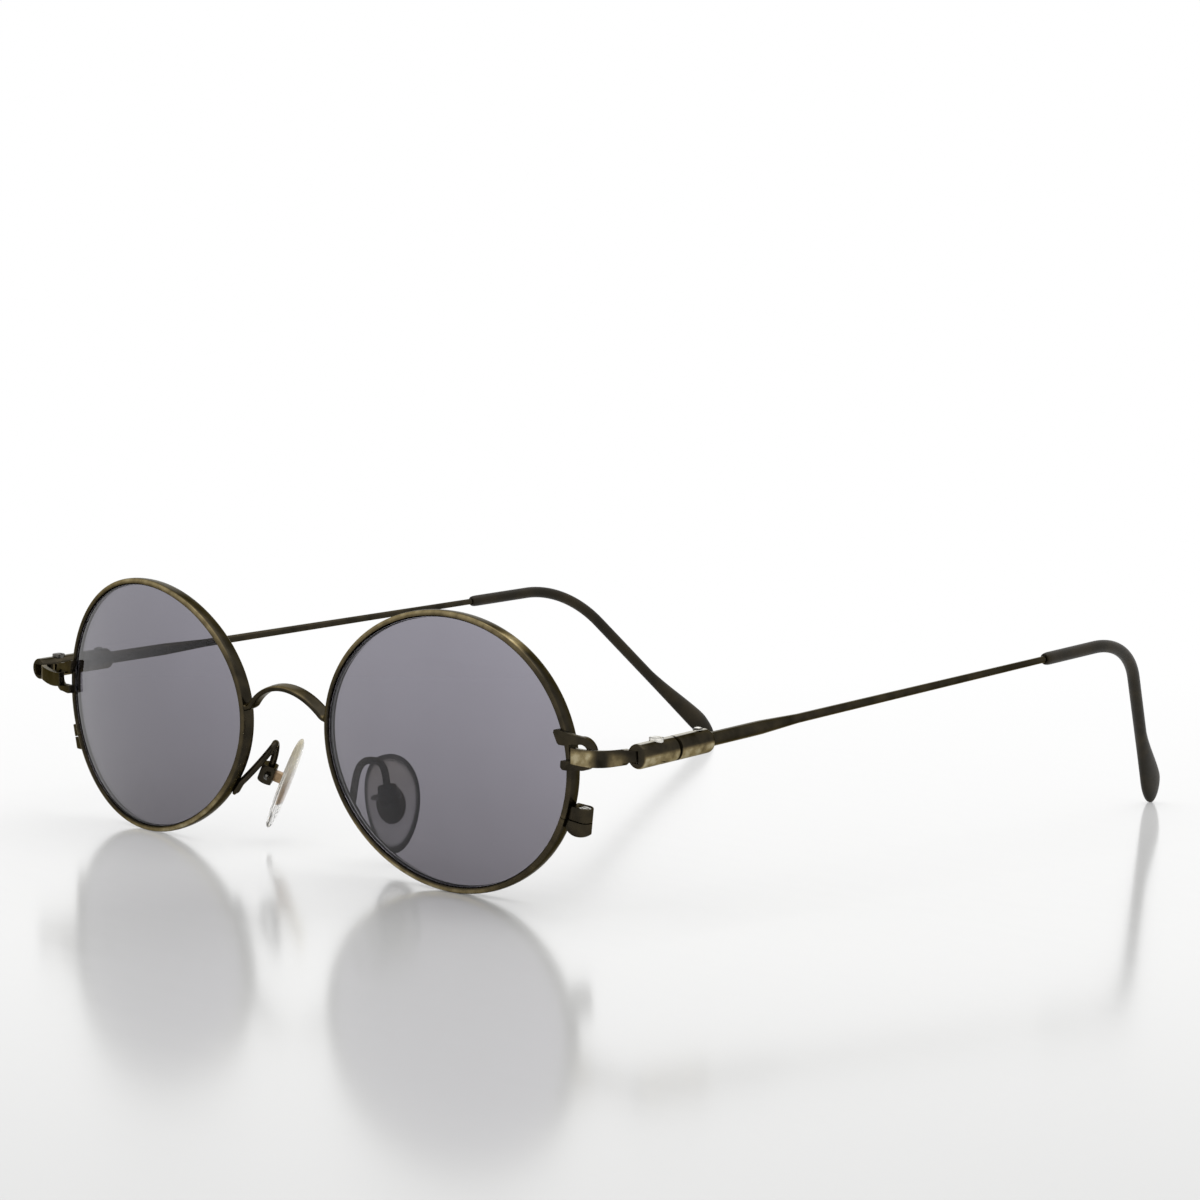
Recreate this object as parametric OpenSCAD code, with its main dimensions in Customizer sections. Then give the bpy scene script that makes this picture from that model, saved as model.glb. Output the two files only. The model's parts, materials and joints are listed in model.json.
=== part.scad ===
// Oval wire-frame sunglasses: two full rims with smoke lenses, a saddle bridge,
// screw-on nose pads, horseshoe end pieces and tubular spring hinges with wire temples.
// The glasses stand open on a table, on the rims and the temple ends.
// +X is the wearer's left, the front faces -Y, the temples run to +Y and +Z is up.
// The origin lies on the table, at the middle of the glasses' width and length.

/* [Lenses and rims] */
// Width of each lens opening
lens_w = 45.8; // [42:0.2:50]
// Height of each lens opening
lens_h = 35.7; // [32:0.1:40]
// Gap between the two lens openings at the nose
nose_gap = 20; // [19:0.2:23]
// Radius of the sphere that the fronts of the rims follow
base_r = 114; // [90:2:140]
// How much fuller the outer half of each opening is than its inner half
egg = 0.069; // [0:0.001:0.1]
// Turn of each oval, with its outer end down
oval_turn = 1.9; // [0:0.1:3]
// Wrap of each rim round the face, with its outer end back
wrap = 3.2; // [1:0.2:6]
// Lean of the whole front, with its top forward
front_tilt = 1.9; // [0:0.1:5]
// Radial thickness of the rim wire
rim_t = 0.88; // [0.85:0.01:1.2]
// Depth of the rim wire from front to back
rim_d = 2.3; // [2:0.05:2.5]
// Depth of the groove that holds the lens edge
groove_d = 0.4; // [0.3:0.05:0.5]
// Thickness of the lens
lens_t = 1.5; // [1.3:0.05:1.6]

/* [Bridge] */
// Height of the bridge feet above the middle of the rims
bridge_up = 1.9; // [0:0.1:5]
// Slope of the arch where it turns into the feet
bridge_slope = 43; // [38:1:52]
// Radius of the flare at each foot
flare_r = 1.6; // [1.2:0.1:2.4]
// Thickness of the bridge ribbon
bridge_t = 0.8; // [0.7:0.05:1.1]
// Width of the bridge ribbon from front to back
bridge_w = 2; // [1.6:0.1:2.4]
// Forward lean of the arch
bridge_lean = 12; // [0:1:20]

/* [End pieces] */
// Height of the horseshoe above the middle of the rims
loop_up = 1.85; // [1:0.05:4]
// Outer radius of the horseshoe's bow
loop_r = 2.15; // [2:0.05:2.5]
// Width of the horseshoe's bar
loop_bar = 1; // [0.8:0.05:1.1]
// Thickness of the horseshoe from front to back
loop_t = 0.95; // [0.8:0.05:1.2]
// Distance from the middle of the rim wire to the centre of the bow
loop_out = 2.55; // [2.4:0.05:3]
// Height of the flat strap
strap_h = 1.94; // [1.7:0.02:2.2]
// Depth of the strap's middle below the middle of the horseshoe
strap_drop = 0.4; // [0:0.05:0.6]
// Thickness of the flat strap
strap_t = 0.9; // [0.75:0.05:1]
// Radius of the strap's bend
strap_r = 3.7; // [3:0.1:3.9]
// Backward slope of the horseshoe and strap as they leave the rim
end_slope = 12; // [8:1:16]

/* [Closing barrels] */
// Depth of the closing barrel below the middle of the rims
close_low = 6.6; // [5:0.1:9]
// Radius of the closing barrel
close_r = 1.1; // [1:0.05:1.3]
// Length of the upper half of the barrel
close_up = 1.85; // [1.7:0.05:2.4]
// Length of the lower half of the barrel
close_down = 2; // [1.8:0.05:2.4]
// Distance from the rim's outer face to the barrel's axis, at the slit
close_out = 1.95; // [1.8:0.05:2.1]
// Lean of the barrel, with its top towards the rim
close_lean = 13; // [8:1:16]
// Distance of the barrel's axis behind the middle of the rim wire
close_back = 0.25; // [0:0.05:0.4]
// Width of the slit between the two halves
close_gap = 0.1; // [0.08:0.02:0.2]

/* [Hinges] */
// Distance from the lens opening out to the hinge screw
hinge_out = 11.2; // [10:0.1:12]
// Distance of the hinge screw behind the rim's outer end
hinge_back = 3.75; // [3.5:0.05:4.3]
// Height of the hinge screw above the middle of the horseshoe
hinge_lift = 0.6; // [0:0.05:0.8]
// Outer radius of the hinge tube and the spring tube
tube_r = 1.6; // [1.5:0.05:1.8]
// Length of the hinge tube in front of the screw
tube_front = 3.8; // [3.5:0.1:4.2]
// Length of the hinge tube behind the screw
tube_rear = 2.95; // [2.9:0.05:3.4]
// Length of the spring tube
spring_tube_l = 6.6; // [6.3:0.1:7.5]
// Height of the strap's tongue between the ears
tongue_h = 1.6; // [1.3:0.05:1.7]
// Radius of the eye at the end of the tongue
eye_r = 1.15; // [1.05:0.05:1.2]
// Radius of the hinge screw's shank
screw_r = 0.6; // [0.5:0.05:0.65]
// Radius of the hinge screw's head
screw_head_r = 0.95; // [0.85:0.05:1]
// How far the spring tube can be drawn off the hinge tube
flex_travel = 1; // [0.5:0.1:1.1]
// Radius of the plunger rod
plunger_r = 0.45; // [0.4:0.05:0.5]
// Number of turns in the hinge spring
spring_turns = 4; // [3:1:4]
// Wire thickness of the hinge spring
spring_wire = 0.26; // [0.2:0.02:0.26]

/* [Temples] */
// Length of a temple along its curve, from the hinge screw to the end of the tip
temple_l = 138.8; // [130:0.2:150]
// Length of the straight run from the hinge screw to the bend
straight_l = 92.8; // [88:0.2:98]
// Inward splay of the temple
splay = 3; // [1:0.1:5]
// Upward slope of the temple
rise = 3.84; // [2:0.02:5]
// Radius of the bend behind the ear
bend_r = 16.4; // [13:0.2:20]
// Angle of the bend behind the ear
bend_drop = 55.8; // [45:0.2:62]
// Inward lean of the bent end
bend_lean = 22.4; // [10:0.2:28]
// Radius of the thick front part of the temple
bar_r = 0.93; // [0.8:0.01:0.98]
// Distance from the hinge screw to the end of the thick part
bar_end = 19.6; // [17:0.2:24]
// Distance from the hinge screw to where the temple is thin
thin_from = 27; // [25:0.2:30]
// Radius of the thin wire where it begins
thin_r = 0.62; // [0.55:0.01:0.7]
// Radius of the wire inside the tip
wire_r = 0.42; // [0.4:0.01:0.48]

/* [Temple tips] */
// Distance from the hinge screw to the front of the plastic tip
tip_from = 80.8; // [76:0.2:86]
// Radius of the tip's round part
tip_r = 0.92; // [0.85:0.01:1.1]
// Greatest width of the tip's paddle
paddle_w = 4; // [3:0.1:5]
// Thickness of the paddle
paddle_t = 1.9; // [1.7:0.05:2.2]
// Length of the part that widens into the paddle
paddle_l = 17; // [13:0.5:20]

/* [Nose pads] */
// Height of a nose pad
pad_h = 14; // [12:0.2:15]
// Width of a nose pad
pad_w = 7.4; // [6.6:0.1:8]
// Thickness of a nose pad
pad_t = 1.4; // [1.3:0.05:1.8]
// Distance from the lens opening's inner edge out to the pad's middle
pad_out = 2.4; // [2:0.1:2.8]
// Distance of the pad's middle behind the front
pad_back = 10.9; // [10:0.1:12]
// Depth of the pad's middle below the middle of the rims
pad_down = 10.1; // [9:0.1:11]
// Turn of the pad's face from straight back towards the nose
pad_turn = 45; // [38:1:50]
// Lean of the pad, with its top towards the nose
pad_tilt = 22; // [16:1:28]
// Turn of the pad in its own plane, with its lower end back
pad_roll = 10; // [0:1:15]
// Radius of the pad arm's wire
arm_r = 0.5; // [0.4:0.01:0.55]
// Size of the pad box across its screw
box_w = 2.5; // [2.4:0.05:2.8]
// Height of the pad box
box_h = 2.7; // [2.6:0.05:3]
// Distance from the pad's middle plane to the pad screw
box_back = 2.75; // [2.6:0.05:3]
// Height of the pad screw above the pad's middle
box_up = 0.5; // [0:0.1:1.2]
// Radius of the pad screw
pad_screw_r = 0.4; // [0.35:0.01:0.42]

/* [Hidden] */

// Colours, as the photograph shows them
bronze = [0.25, 0.23, 0.17];
brass = [0.58, 0.52, 0.36];
smoke = [0.36, 0.36, 0.4, 0.55];
clear = [0.92, 0.93, 0.88, 0.5];
tortoise = [0.17, 0.16, 0.13];

// Clearances
running_gap = 0.04; // a pin that turns or slides in its hole
snug_gap = 0.02;    // a piece that sits still in its seat
braze = 0.15;       // depth to which brazed pieces run into each other
face_gap = 0.03;    // between two flat faces that meet and part
eps = 0.01;
cut = 5;            // how far cutting tools reach past the metal

// Fineness of the swept shapes
rim_steps = 96;
lens_steps = 36;
pad_steps = 24;
$fn = 40;

// Vector helpers
function unit(v) = v / norm(v);
function turn_x(p, a) = [p[0], p[1] * cos(a) - p[2] * sin(a), p[1] * sin(a) + p[2] * cos(a)];
function turn_y(p, a) = [p[0] * cos(a) + p[2] * sin(a), p[1], p[2] * cos(a) - p[0] * sin(a)];
function turn_z(p, a) = [p[0] * cos(a) - p[1] * sin(a), p[0] * sin(a) + p[1] * cos(a), p[2]];
function mix(a, b, k) = a * (1 - k) + b * k;
function smooth(k) = let (c = min(1, max(0, k))) c * c * (3 - 2 * c);
function bezier(a, b, c, d, k) =
    a * pow(1 - k, 3) + b * 3 * k * pow(1 - k, 2) + c * 3 * k * k * (1 - k) + d * pow(k, 3);

// Points of a rectangle with round corners, w by h, turned anticlockwise
function round_rect(w, h, r, n = 3) = [
    for (q = [0:3], i = [0:n])
        let (a = 90 * (q + i / n),
            cx = (q == 0 || q == 3 ? 1 : -1) * (w / 2 - r),
            cy = (q < 2 ? 1 : -1) * (h / 2 - r))
        [cx + r * cos(a), cy + r * sin(a)]];

// Profile of a tube of radius r from z = a to z = b, for a revolve.
// ra and rb round its two outer edges, bore is its inner radius.
function tube_profile(r, a, b, ra, rb, bore = 0, n = 5) = concat(
    [[bore, a]],
    [for (i = [0:n]) let (q = 90 * i / n) [r - ra + ra * sin(q), a + ra - ra * cos(q)]],
    [for (i = [0:n]) let (q = 90 * i / n) [r - rb + rb * cos(q), b - rb + rb * sin(q)]],
    [[bore, b]]);

// A skin over rings of points, closed with a cap on the first and last ring
module skin(rings) {
    n = len(rings[0]);
    m = len(rings);
    sides = [for (i = [0:m - 2], j = [0:n - 1])
        [i * n + j, (i + 1) * n + j, (i + 1) * n + (j + 1) % n, i * n + (j + 1) % n]];
    polyhedron(points = [for (ring = rings, p = ring) p],
        faces = concat([[for (j = [0:n - 1]) j]], sides,
            [[for (j = [n - 1:-1:0]) (m - 1) * n + j]]), convexity = 8);
}

// The oval: half axes, and the point at angle t moved outward by dr in the oval's plane.
// It is a little taller towards the temple than towards the nose.
oval_a = lens_w / 2;
oval_b = lens_h / 2;
function oval(t, dr) =
    let (n = unit([oval_b * (cos(t) + egg * cos(2 * t)), oval_a * sin(t)]),
        q = [oval_a * cos(t) + dr * n[0], oval_b * sin(t) * (1 + egg * cos(t)) + dr * n[1]])
    [q[0] * cos(oval_turn) + q[1] * sin(oval_turn), q[1] * cos(oval_turn) - q[0] * sin(oval_turn)];

// The angle between low and high at which the oval's edge has a given height, by halving
function angle_at(up, low, high, n = 20) = let (m = (low + high) / 2)
    n == 0 ? m : oval(m, 0)[1] < up ? angle_at(up, m, high, n - 1) : angle_at(up, low, m, n - 1);
function outer_angle(up) = angle_at(up, -80, 80);
function inner_angle(up) = angle_at(up, 260, 100);

// A point of the oval's plane laid on the base sphere, n behind the middle of the rim
function on_sphere(q, n) =
    [0, base_r, 0] + (base_r - rim_d / 2 - n) / base_r
        * [q[0], -sqrt(base_r * base_r - q[0] * q[0] - q[1] * q[1]), q[1]];

// The left rim's place in the front: wrapped, set out from the nose and leaned
rim_x = nose_gap / 2 + oval_a;
function in_front(p) = turn_x(turn_z(p, wrap) + [rim_x, 0, 0], front_tilt);
function rim_point(t, dr, n) = in_front(on_sphere(oval(t, dr), n));

// Children's x runs out of the rim, y back and z along it
module at_rim(t, dr, n) {
    p = rim_point(t, dr, n);
    out = unit(rim_point(t, dr + 1, n) - p);
    back = unit(rim_point(t, dr, n + 1) - p);
    along = cross(out, back);
    level = cross(along, out);
    multmatrix([
        [out[0], level[0], along[0], p[0]],
        [out[1], level[1], along[1], p[1]],
        [out[2], level[2], along[2], p[2]]]) children();
}

// Section of the rim wire: [outward from the opening, back from the middle]
lip = 0.18;                 // chamfer on the inner lips
band = 0.55;                // share of the wire's thickness where the rounded band begins
groove_half = 0.4;          // half width of the lens groove at its mouth
rim_section = [
    [groove_d, 0], [0, -groove_half], [0, lip - rim_d / 2], [lip, -rim_d / 2],
    [rim_t * band, -rim_d / 2], [rim_t * 0.86, -rim_d * 0.4], [rim_t, -rim_d * 0.18],
    [rim_t, rim_d * 0.18], [rim_t * 0.86, rim_d * 0.4], [rim_t * band, rim_d / 2],
    [lip, rim_d / 2], [0, rim_d / 2 - lip], [0, groove_half]];
loop_at = outer_angle(loop_up);
close_at = outer_angle(-close_low);
slit = close_gap / (oval_a + rim_t) * 90 / PI;
function rim_ring(t) = [for (s = rim_section) rim_point(t, s[0], s[1])];
rim_rings = [for (i = [0:rim_steps])
    rim_ring(close_at + slit + (360 - 2 * slit) * i / rim_steps)];

// Rings of the lens, from the middle of its front round the bevelled edge to the middle of its back
lens_inset = 0.1;           // gap between the lens's straight edge and the rim's lips
lens_bevel = groove_d - 0.08;
lens_faces = [0.02, 0.35, 0.7, 1];
function lens_ring(k, dr, n) = [for (i = [0:lens_steps - 1])
    let (q = oval(360 * i / lens_steps, dr)) in_front(on_sphere(q * k, n))];
lens_rings = concat(
    [for (k = lens_faces) lens_ring(k, -lens_inset, -lens_t / 2)],
    [lens_ring(1, -lens_inset, -groove_half), lens_ring(1, lens_bevel, 0),
        lens_ring(1, -lens_inset, groove_half)],
    [for (i = [len(lens_faces) - 1:-1:0]) lens_ring(lens_faces[i], -lens_inset, lens_t / 2)]);

// The horseshoe stands on the rim's front, and the strap on the horseshoe's front
loop_p = rim_point(loop_at, rim_t / 2, -rim_d / 2);
module at_loop() translate(loop_p) rotate([0, 0, end_slope]) children();

// The hinge screw, and the strap's bend that leads to it
rim_end = rim_point(loop_at, rim_t / 2, 0);
hinge = [nose_gap / 2 + lens_w + hinge_out, rim_end[1] + hinge_back, loop_p[2] + hinge_lift];
strap_off = braze - loop_t + braze - strap_t / 2; // from the horseshoe's back plane to the strap's middle
strap_p = loop_p + turn_z([0, strap_off, 0], end_slope);
// Distance along the strap's first run to the line through the hinge screw, where the two runs cross
strap_dir = [cos(end_slope), sin(end_slope)];
hinge_dir = [-sin(splay), cos(splay)];
strap_cross = ((hinge[0] - strap_p[0]) * hinge_dir[1] - (hinge[1] - strap_p[1]) * hinge_dir[0])
    / (strap_dir[0] * hinge_dir[1] - strap_dir[1] * hinge_dir[0]);
strap_turn = 90 + splay - end_slope;
strap_cut = strap_r * tan(strap_turn / 2);
strap_start = 1.5; // from the middle of the rim wire to the strap's inner end
corner = [strap_p[0] + strap_dir[0] * strap_cross, strap_p[1] + strap_dir[1] * strap_cross];
hinge_run = norm([hinge[0], hinge[1]] - corner) - strap_cut;

// Hinge tube frame: y runs back along the temple
module at_hinge() translate(hinge) rotate([0, 0, splay]) rotate([rise, 0, 0]) children();
function from_hinge(p) = hinge + turn_z(turn_x(p, rise), splay);
module along_tube() rotate([-90, 0, 0]) children();

slot_h = tongue_h + 2 * face_gap;
slot_drop = 0.3;                  // from the screw's middle down to the tongue's middle
slot_side = strap_t / 2 + 0.05;   // inner face of the hinge tube's outer wall
slot_rear = eye_r + 0.15;         // rear wall of the slot
screw_seat = 1.05;                // height of the screw head's underside
screw_top = tube_r + 0.42;
screw_low = 0.2 - tube_r;
part_gap = 0.02;                  // parting line between the two tubes
part_round = 0.16;                // rounding of the tubes' edges at the parting line
tube_split = tube_rear + part_gap;
tube_end = tube_split + spring_tube_l;
front_wall = 0.8;                 // wall of the spring tube round the plunger rod
tube_bore = tube_r - 0.55;
plug_r = tube_bore - snug_gap;
pin_back = 1.85;                  // from the spring tube's rear end to the cross pin
pin_r = 0.4;
plunger_head = 0.45;
plunger_from = slot_rear + 0.4;
spring_from = tube_split + front_wall;
spring_room = (spring_turns + 1) * spring_wire + flex_travel + 0.2;
spring_to = spring_from + spring_room;
plug_from = spring_to + plunger_head + 0.4;
spring_r = tube_bore - 0.12 - spring_wire / 2;
spring_sides = 6;
spring_steps = 10;                // steps in each turn

// Temple path in the hinge frame: straight, bend, straight
bend_l = bend_r * bend_drop * PI / 180;
tail_l = temple_l - straight_l - bend_l;
wire_stop = 9;                    // the wire ends this far before the tip's end
function temple_turn(s) = min(bend_drop, max(0, (s - straight_l) / bend_r * 180 / PI));
// Point at length s, moved by q: [across the bend's plane, outward from the bend]
function temple_point(s, q) =
    let (a = temple_turn(s), tail = max(0, s - straight_l - bend_l), run = min(s, straight_l))
    turn_y([q[0],
        run + (bend_r + q[1]) * sin(a) + tail * cos(a),
        (bend_r + q[1]) * cos(a) - bend_r - tail * sin(a)], bend_lean);

// Width, thickness and outward shift of the plastic tip at length s
nose_l = 1.2;                     // length over which the tip's front end rounds
point_l = 5.5;                    // length over which the paddle closes at its end
function tip_grow(s) = smooth((s - (temple_l - paddle_l)) / (paddle_l - point_l));
function tip_close(s) = let (k = max(0, (s - (temple_l - point_l)) / point_l)) sqrt(max(0.004, 1 - k * k));
function tip_front(s) = 1 - 0.14 * pow(max(0, 1 - (s - tip_from) / nose_l), 2);
function tip_width(s) = mix(2 * tip_r, paddle_w, tip_grow(s)) * tip_close(s) * tip_front(s);
function tip_thick(s) = mix(2 * tip_r, paddle_t, tip_grow(s)) * sqrt(tip_close(s)) * tip_front(s);
function tip_shift(s) = (paddle_w / 2 - tip_r) * tip_grow(s) * (0.2 + 0.6 * tip_close(s));
tip_sides = 16;
function tip_ring(s) = [for (i = [0:tip_sides - 1])
    let (a = 360 * i / tip_sides)
    temple_point(s, [tip_thick(s) / 2 * cos(a), tip_shift(s) + tip_width(s) / 2 * sin(a)])];
core_r = wire_r + 0.09;           // radius of the tip's bore, at its corners
function core_ring(s) = [for (i = [0:tip_sides - 1])
    let (a = 360 * i / tip_sides) temple_point(s, core_r * [cos(a), sin(a)])];
bend_steps = 9;
tail_steps = 5;
tail_at = straight_l + bend_l;
core_stops = concat([for (i = [0:bend_steps]) tail_at - bend_l * i / bend_steps], [tip_from]);
tip_stops = concat([tip_from, tip_from + nose_l / 2, tip_from + nose_l],
    [for (i = [0:bend_steps]) straight_l + bend_l * i / bend_steps],
    [for (i = [0:tail_steps]) mix(temple_l - paddle_l, temple_l - point_l, i / tail_steps)],
    [for (k = [0.35, 0.6, 0.8, 0.93, 1]) temple_l - point_l * (1 - k)]);
tip_rings = concat([core_ring(temple_l - wire_stop + 0.3)], [for (s = core_stops) core_ring(s)],
    [for (s = tip_stops) tip_ring(s)]);

// The glasses' place on the table
low_z = min(min([for (ring = rim_rings, p = ring) p[2]]),
    min([for (ring = tip_rings, p = ring) from_hinge(p)[2]]));
front_y = min([for (ring = lens_rings, p = ring) p[1]]);
rear_y = max([for (ring = tip_rings, p = ring) from_hinge(p)[1]]);
module stand() translate([0, -(front_y + rear_y) / 2, -low_z]) children();
module right() mirror([1, 0, 0]) children();

// Pad frame: y points to the nose, z up the pad, x to the rear edge
pad_p = [nose_gap / 2 + pad_out, pad_back, -pad_down];
module at_pad() translate(pad_p) rotate([0, 0, pad_turn]) rotate([-pad_tilt, 0, 0]) rotate([0, -pad_roll, 0])
    children();
function from_pad(p) = pad_p + turn_z(turn_x(turn_y(p, -pad_roll), -pad_tilt), pad_turn);
// Outline of the pad: a D, flat on the front edge and narrower below
function pad_outline(t, inset) =
    let (half = cos(t) < 0 ? pad_w * 0.46 : pad_w * 0.54,
        flat = cos(t) < 0 ? 0.75 : 1,
        x = sign(cos(t)) * pow(abs(cos(t)), flat) * (half * (1 + 0.16 * sin(t)) - inset))
    [x + 0.35 * sin(t), (pad_h / 2 - inset) * sin(t)];
// Rounded edge and crowned face of the pad: [inset, share of its thickness]
pad_steps_in = [[pad_w * 0.26, -0.5], [0.42, -0.46], [0.1, -0.28], [0, 0], [0.1, 0.22],
    [0.5, 0.42], [pad_w * 0.26, 0.5]];
pad_rings = [for (s = pad_steps_in) [for (i = [0:pad_steps - 1])
    let (q = pad_outline(360 * i / pad_steps, s[0])) [q[0], s[1] * pad_t, q[1]]]];
plate_w = 4;                      // metal plate set into the pad
plate_h = 5.7;
plate_t = 0.45;
plate_up = -0.2;
plate_sink = 0.02;                // how far the plate lies below the pad's back
plate_y = plate_sink - pad_t / 2;
stem_w = 1.1;                     // post between the plate and the pad screw
stem_eye = 0.72;
box_cavity = stem_w + 2 * running_gap;
box_round = 1.85;                 // radius that rounds the box's corners

// Pad arm: out of the rim's back, up round a bow and down into the box
arm_low = 9;                      // depth of the arm's foot below the middle of the rims
arm_at = inner_angle(-arm_low);
foot_dr = rim_t * 0.86 + (arm_r - braze) * 0.7;
foot_n = rim_d * 0.4 + (arm_r - braze) * 0.7;
arm_a = rim_point(arm_at, foot_dr, foot_n);
arm_dir_a = unit(rim_point(arm_at - 5, foot_dr, foot_n) - arm_a);
arm_end = from_pad([0, -box_back, box_up + box_h / 2 - braze]);
arm_into = from_pad([0, 0, 1]) - from_pad([0, 0, 0]);
arm_top = arm_end + [-2.5, -1.2, 3.5];
arm_over = [1.1, 1.0, 0.15];      // direction of the arm at the top of its bow
arm_behind = [0.2, 1.4, 0];       // how the arm swings back as it leaves the rim
arm_points = concat(
    [for (i = [0:3]) mix(rim_point(arm_at + 7, foot_dr, foot_n), arm_a, i / 4)],
    [for (i = [0:9])
        bezier(arm_a, arm_a + arm_dir_a * 2 + arm_behind, arm_top - arm_over * 1.3, arm_top, i / 10)],
    [for (i = [0:10]) bezier(arm_top, arm_top + arm_over * 1.5, arm_end + arm_into * 2.4, arm_end, i / 10)]);
arm_sides = 10;
// Directions along the arm, and rings square to them that don't twist
function arm_dir(i) = let (n = len(arm_points) - 1)
    unit(arm_points[min(n, i + 1)] - arm_points[max(0, i - 1)]);
arm_side0 = unit(cross(arm_dir(0), [0, 0, 1]));
function arm_side(i) = i == 0 ? arm_side0
    : let (s = arm_side(i - 1), d = arm_dir(i)) unit(s - d * (s * d));
arm_rings = [for (i = [0:len(arm_points) - 1])
    let (d = arm_dir(i), s = arm_side(i), u = cross(d, s))
    [for (j = [0:arm_sides - 1]) let (a = 360 * j / arm_sides)
        arm_points[i] + arm_r * (s * cos(a) + u * sin(a))]];

module bridge() color(bronze) stand() {
    foot = rim_point(inner_angle(bridge_up), rim_t, 0);
    half = foot[0] - 0.3;
    arch_r = half / sin(bridge_slope) - flare_r;
    crest = half / sin(bridge_slope) * (1 - cos(bridge_slope));
    step = 0.03;    // the flares are this much thinner on each side than the arch and the feet
    section = round_rect(bridge_t, bridge_w, bridge_t * 0.35);
    thin = round_rect(bridge_t - 2 * step, bridge_w - 2 * step, bridge_t * 0.35 - step);
    translate([0, foot[1], foot[2]]) rotate([bridge_lean, 0, 0]) {
        translate([0, 0, crest - arch_r]) rotate([90, 0, 0]) rotate([0, 0, 89.4 - bridge_slope])
            rotate_extrude(angle = 2 * bridge_slope + 1.2, $fn = 96) translate([arch_r, 0]) polygon(section);
        for (side = [0, 1]) mirror([side, 0, 0]) {
            translate([half, 0, flare_r]) rotate([90, 0, 0]) rotate([0, 0, 270 - bridge_slope])
                rotate_extrude(angle = bridge_slope, $fn = 64) translate([flare_r, 0]) polygon(thin);
            translate([half - 0.12, 0, 0]) rotate([0, 90, 0]) linear_extrude(0.42 + braze) polygon(section);
        }
    }
}

module rim() color(bronze) stand() skin(rim_rings);

module lens() color(smoke) stand() skin(lens_rings);

// The closing barrel leans from the rim's slit, and the web that joins it to the rim ends in the wire
close_screw_r = close_r * 0.45;
close_head_r = close_r * 0.72;
close_sink = 0.6;
module at_barrel() at_rim(close_at, rim_t, close_back) rotate([0, -close_lean, 0])
    translate([close_out, 0, 0]) children();
module at_rim_face() at_rim(close_at, rim_t, close_back) translate([-braze, -cut, -cut])
    cube([2 * cut, 2 * cut, 2 * cut]);
module close_outline() {
    web = close_out + 1.5;
    circle(close_r);
    polygon([[0, close_r * 0.98], [-web, close_r * 0.75], [-web, -close_r * 0.75], [0, -close_r * 0.98]]);
}

module closing_block_upper() color(bronze) stand() difference() {
    intersection() {
        at_barrel() translate([0, 0, close_gap / 2]) linear_extrude(close_up) close_outline();
        at_rim_face();
    }
    at_barrel() translate([0, 0, -cut]) cylinder(r = close_screw_r + running_gap, h = 2 * cut);
    at_barrel() translate([0, 0, close_gap / 2 + close_up - close_sink])
        cylinder(r = close_head_r + running_gap, h = cut);
}

module closing_block_lower() color(bronze) stand() difference() {
    intersection() {
        at_barrel() translate([0, 0, -close_gap / 2 - close_down]) linear_extrude(close_down)
            close_outline();
        at_barrel() translate([-close_out * 0.25, 0, 0.15]) sphere(r = close_down + 0.3, $fn = 48);
        at_rim_face();
    }
    at_barrel() translate([0, 0, -close_gap / 2 - close_down * 0.8])
        cylinder(r = close_screw_r + snug_gap, h = cut);
}

module closing_screw() color(brass) stand() at_barrel()
    difference() {
        union() {
            translate([0, 0, -close_down * 0.75])
                cylinder(r = close_screw_r, h = close_down * 0.75 + close_up);
            translate([0, 0, close_gap / 2 + close_up - close_sink + snug_gap])
                cylinder(r = close_head_r, h = close_sink - 0.15);
        }
        translate([-cut / 2, -0.12, close_gap / 2 + close_up - 0.3]) cube([cut, 0.24, cut]);
    }

// The horseshoe: a bow with two legs that lie over the rim's front
module end_loop() color(bronze) stand() at_loop()
    translate([0, braze, 0]) rotate([90, 0, 0]) {
        inner = loop_r - loop_bar;
        side = inner - 0.06;    // half height of the gap between the legs
        thin = 0.02;            // the legs are this much thinner on each side than the bow
        upper = -1.75;          // the upper leg's tip, measured from the middle of the rim wire
        lower = -0.65;          // the lower leg's tip
        difference() {
            union() {
                translate([loop_out, 0, 0]) cylinder(r = loop_r, h = loop_t, $fn = 64);
                translate([0, 0, thin]) linear_extrude(loop_t - 2 * thin)
                    polygon([[loop_out, loop_r - 0.05], [loop_out - 1.2, loop_r + 0.1],
                        [upper + 1.2, loop_r + 0.55], [upper + 0.45, loop_r + 0.7],
                        [upper + 0.1, loop_r + 0.6], [upper, loop_r + 0.25], [upper + 0.6, side],
                        [upper + 0.85, side - 0.2], [loop_out, side - 0.4]]);
                translate([0, 0, thin]) linear_extrude(loop_t - 2 * thin)
                    polygon([[loop_out, 0.05 - loop_r], [lower + 0.8, -loop_r - 0.15],
                        [lower + 0.3, -loop_r - 0.1], [lower, 0.2 - loop_r], [lower + 0.05, -side - 0.1],
                        [lower + 0.3, 0.2 - side], [loop_out, 0.5 - side]]);
            }
            translate([loop_out, 0, -cut]) cylinder(r = inner, h = 2 * cut, $fn = 48);
            translate([0, 0, -cut]) linear_extrude(2 * cut) polygon([[-cut, -side], [loop_out, -side],
                [loop_out, side], [1.2, side], [0.2, side - 0.25], [-cut, side - 0.25]]);
        }
    }

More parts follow.
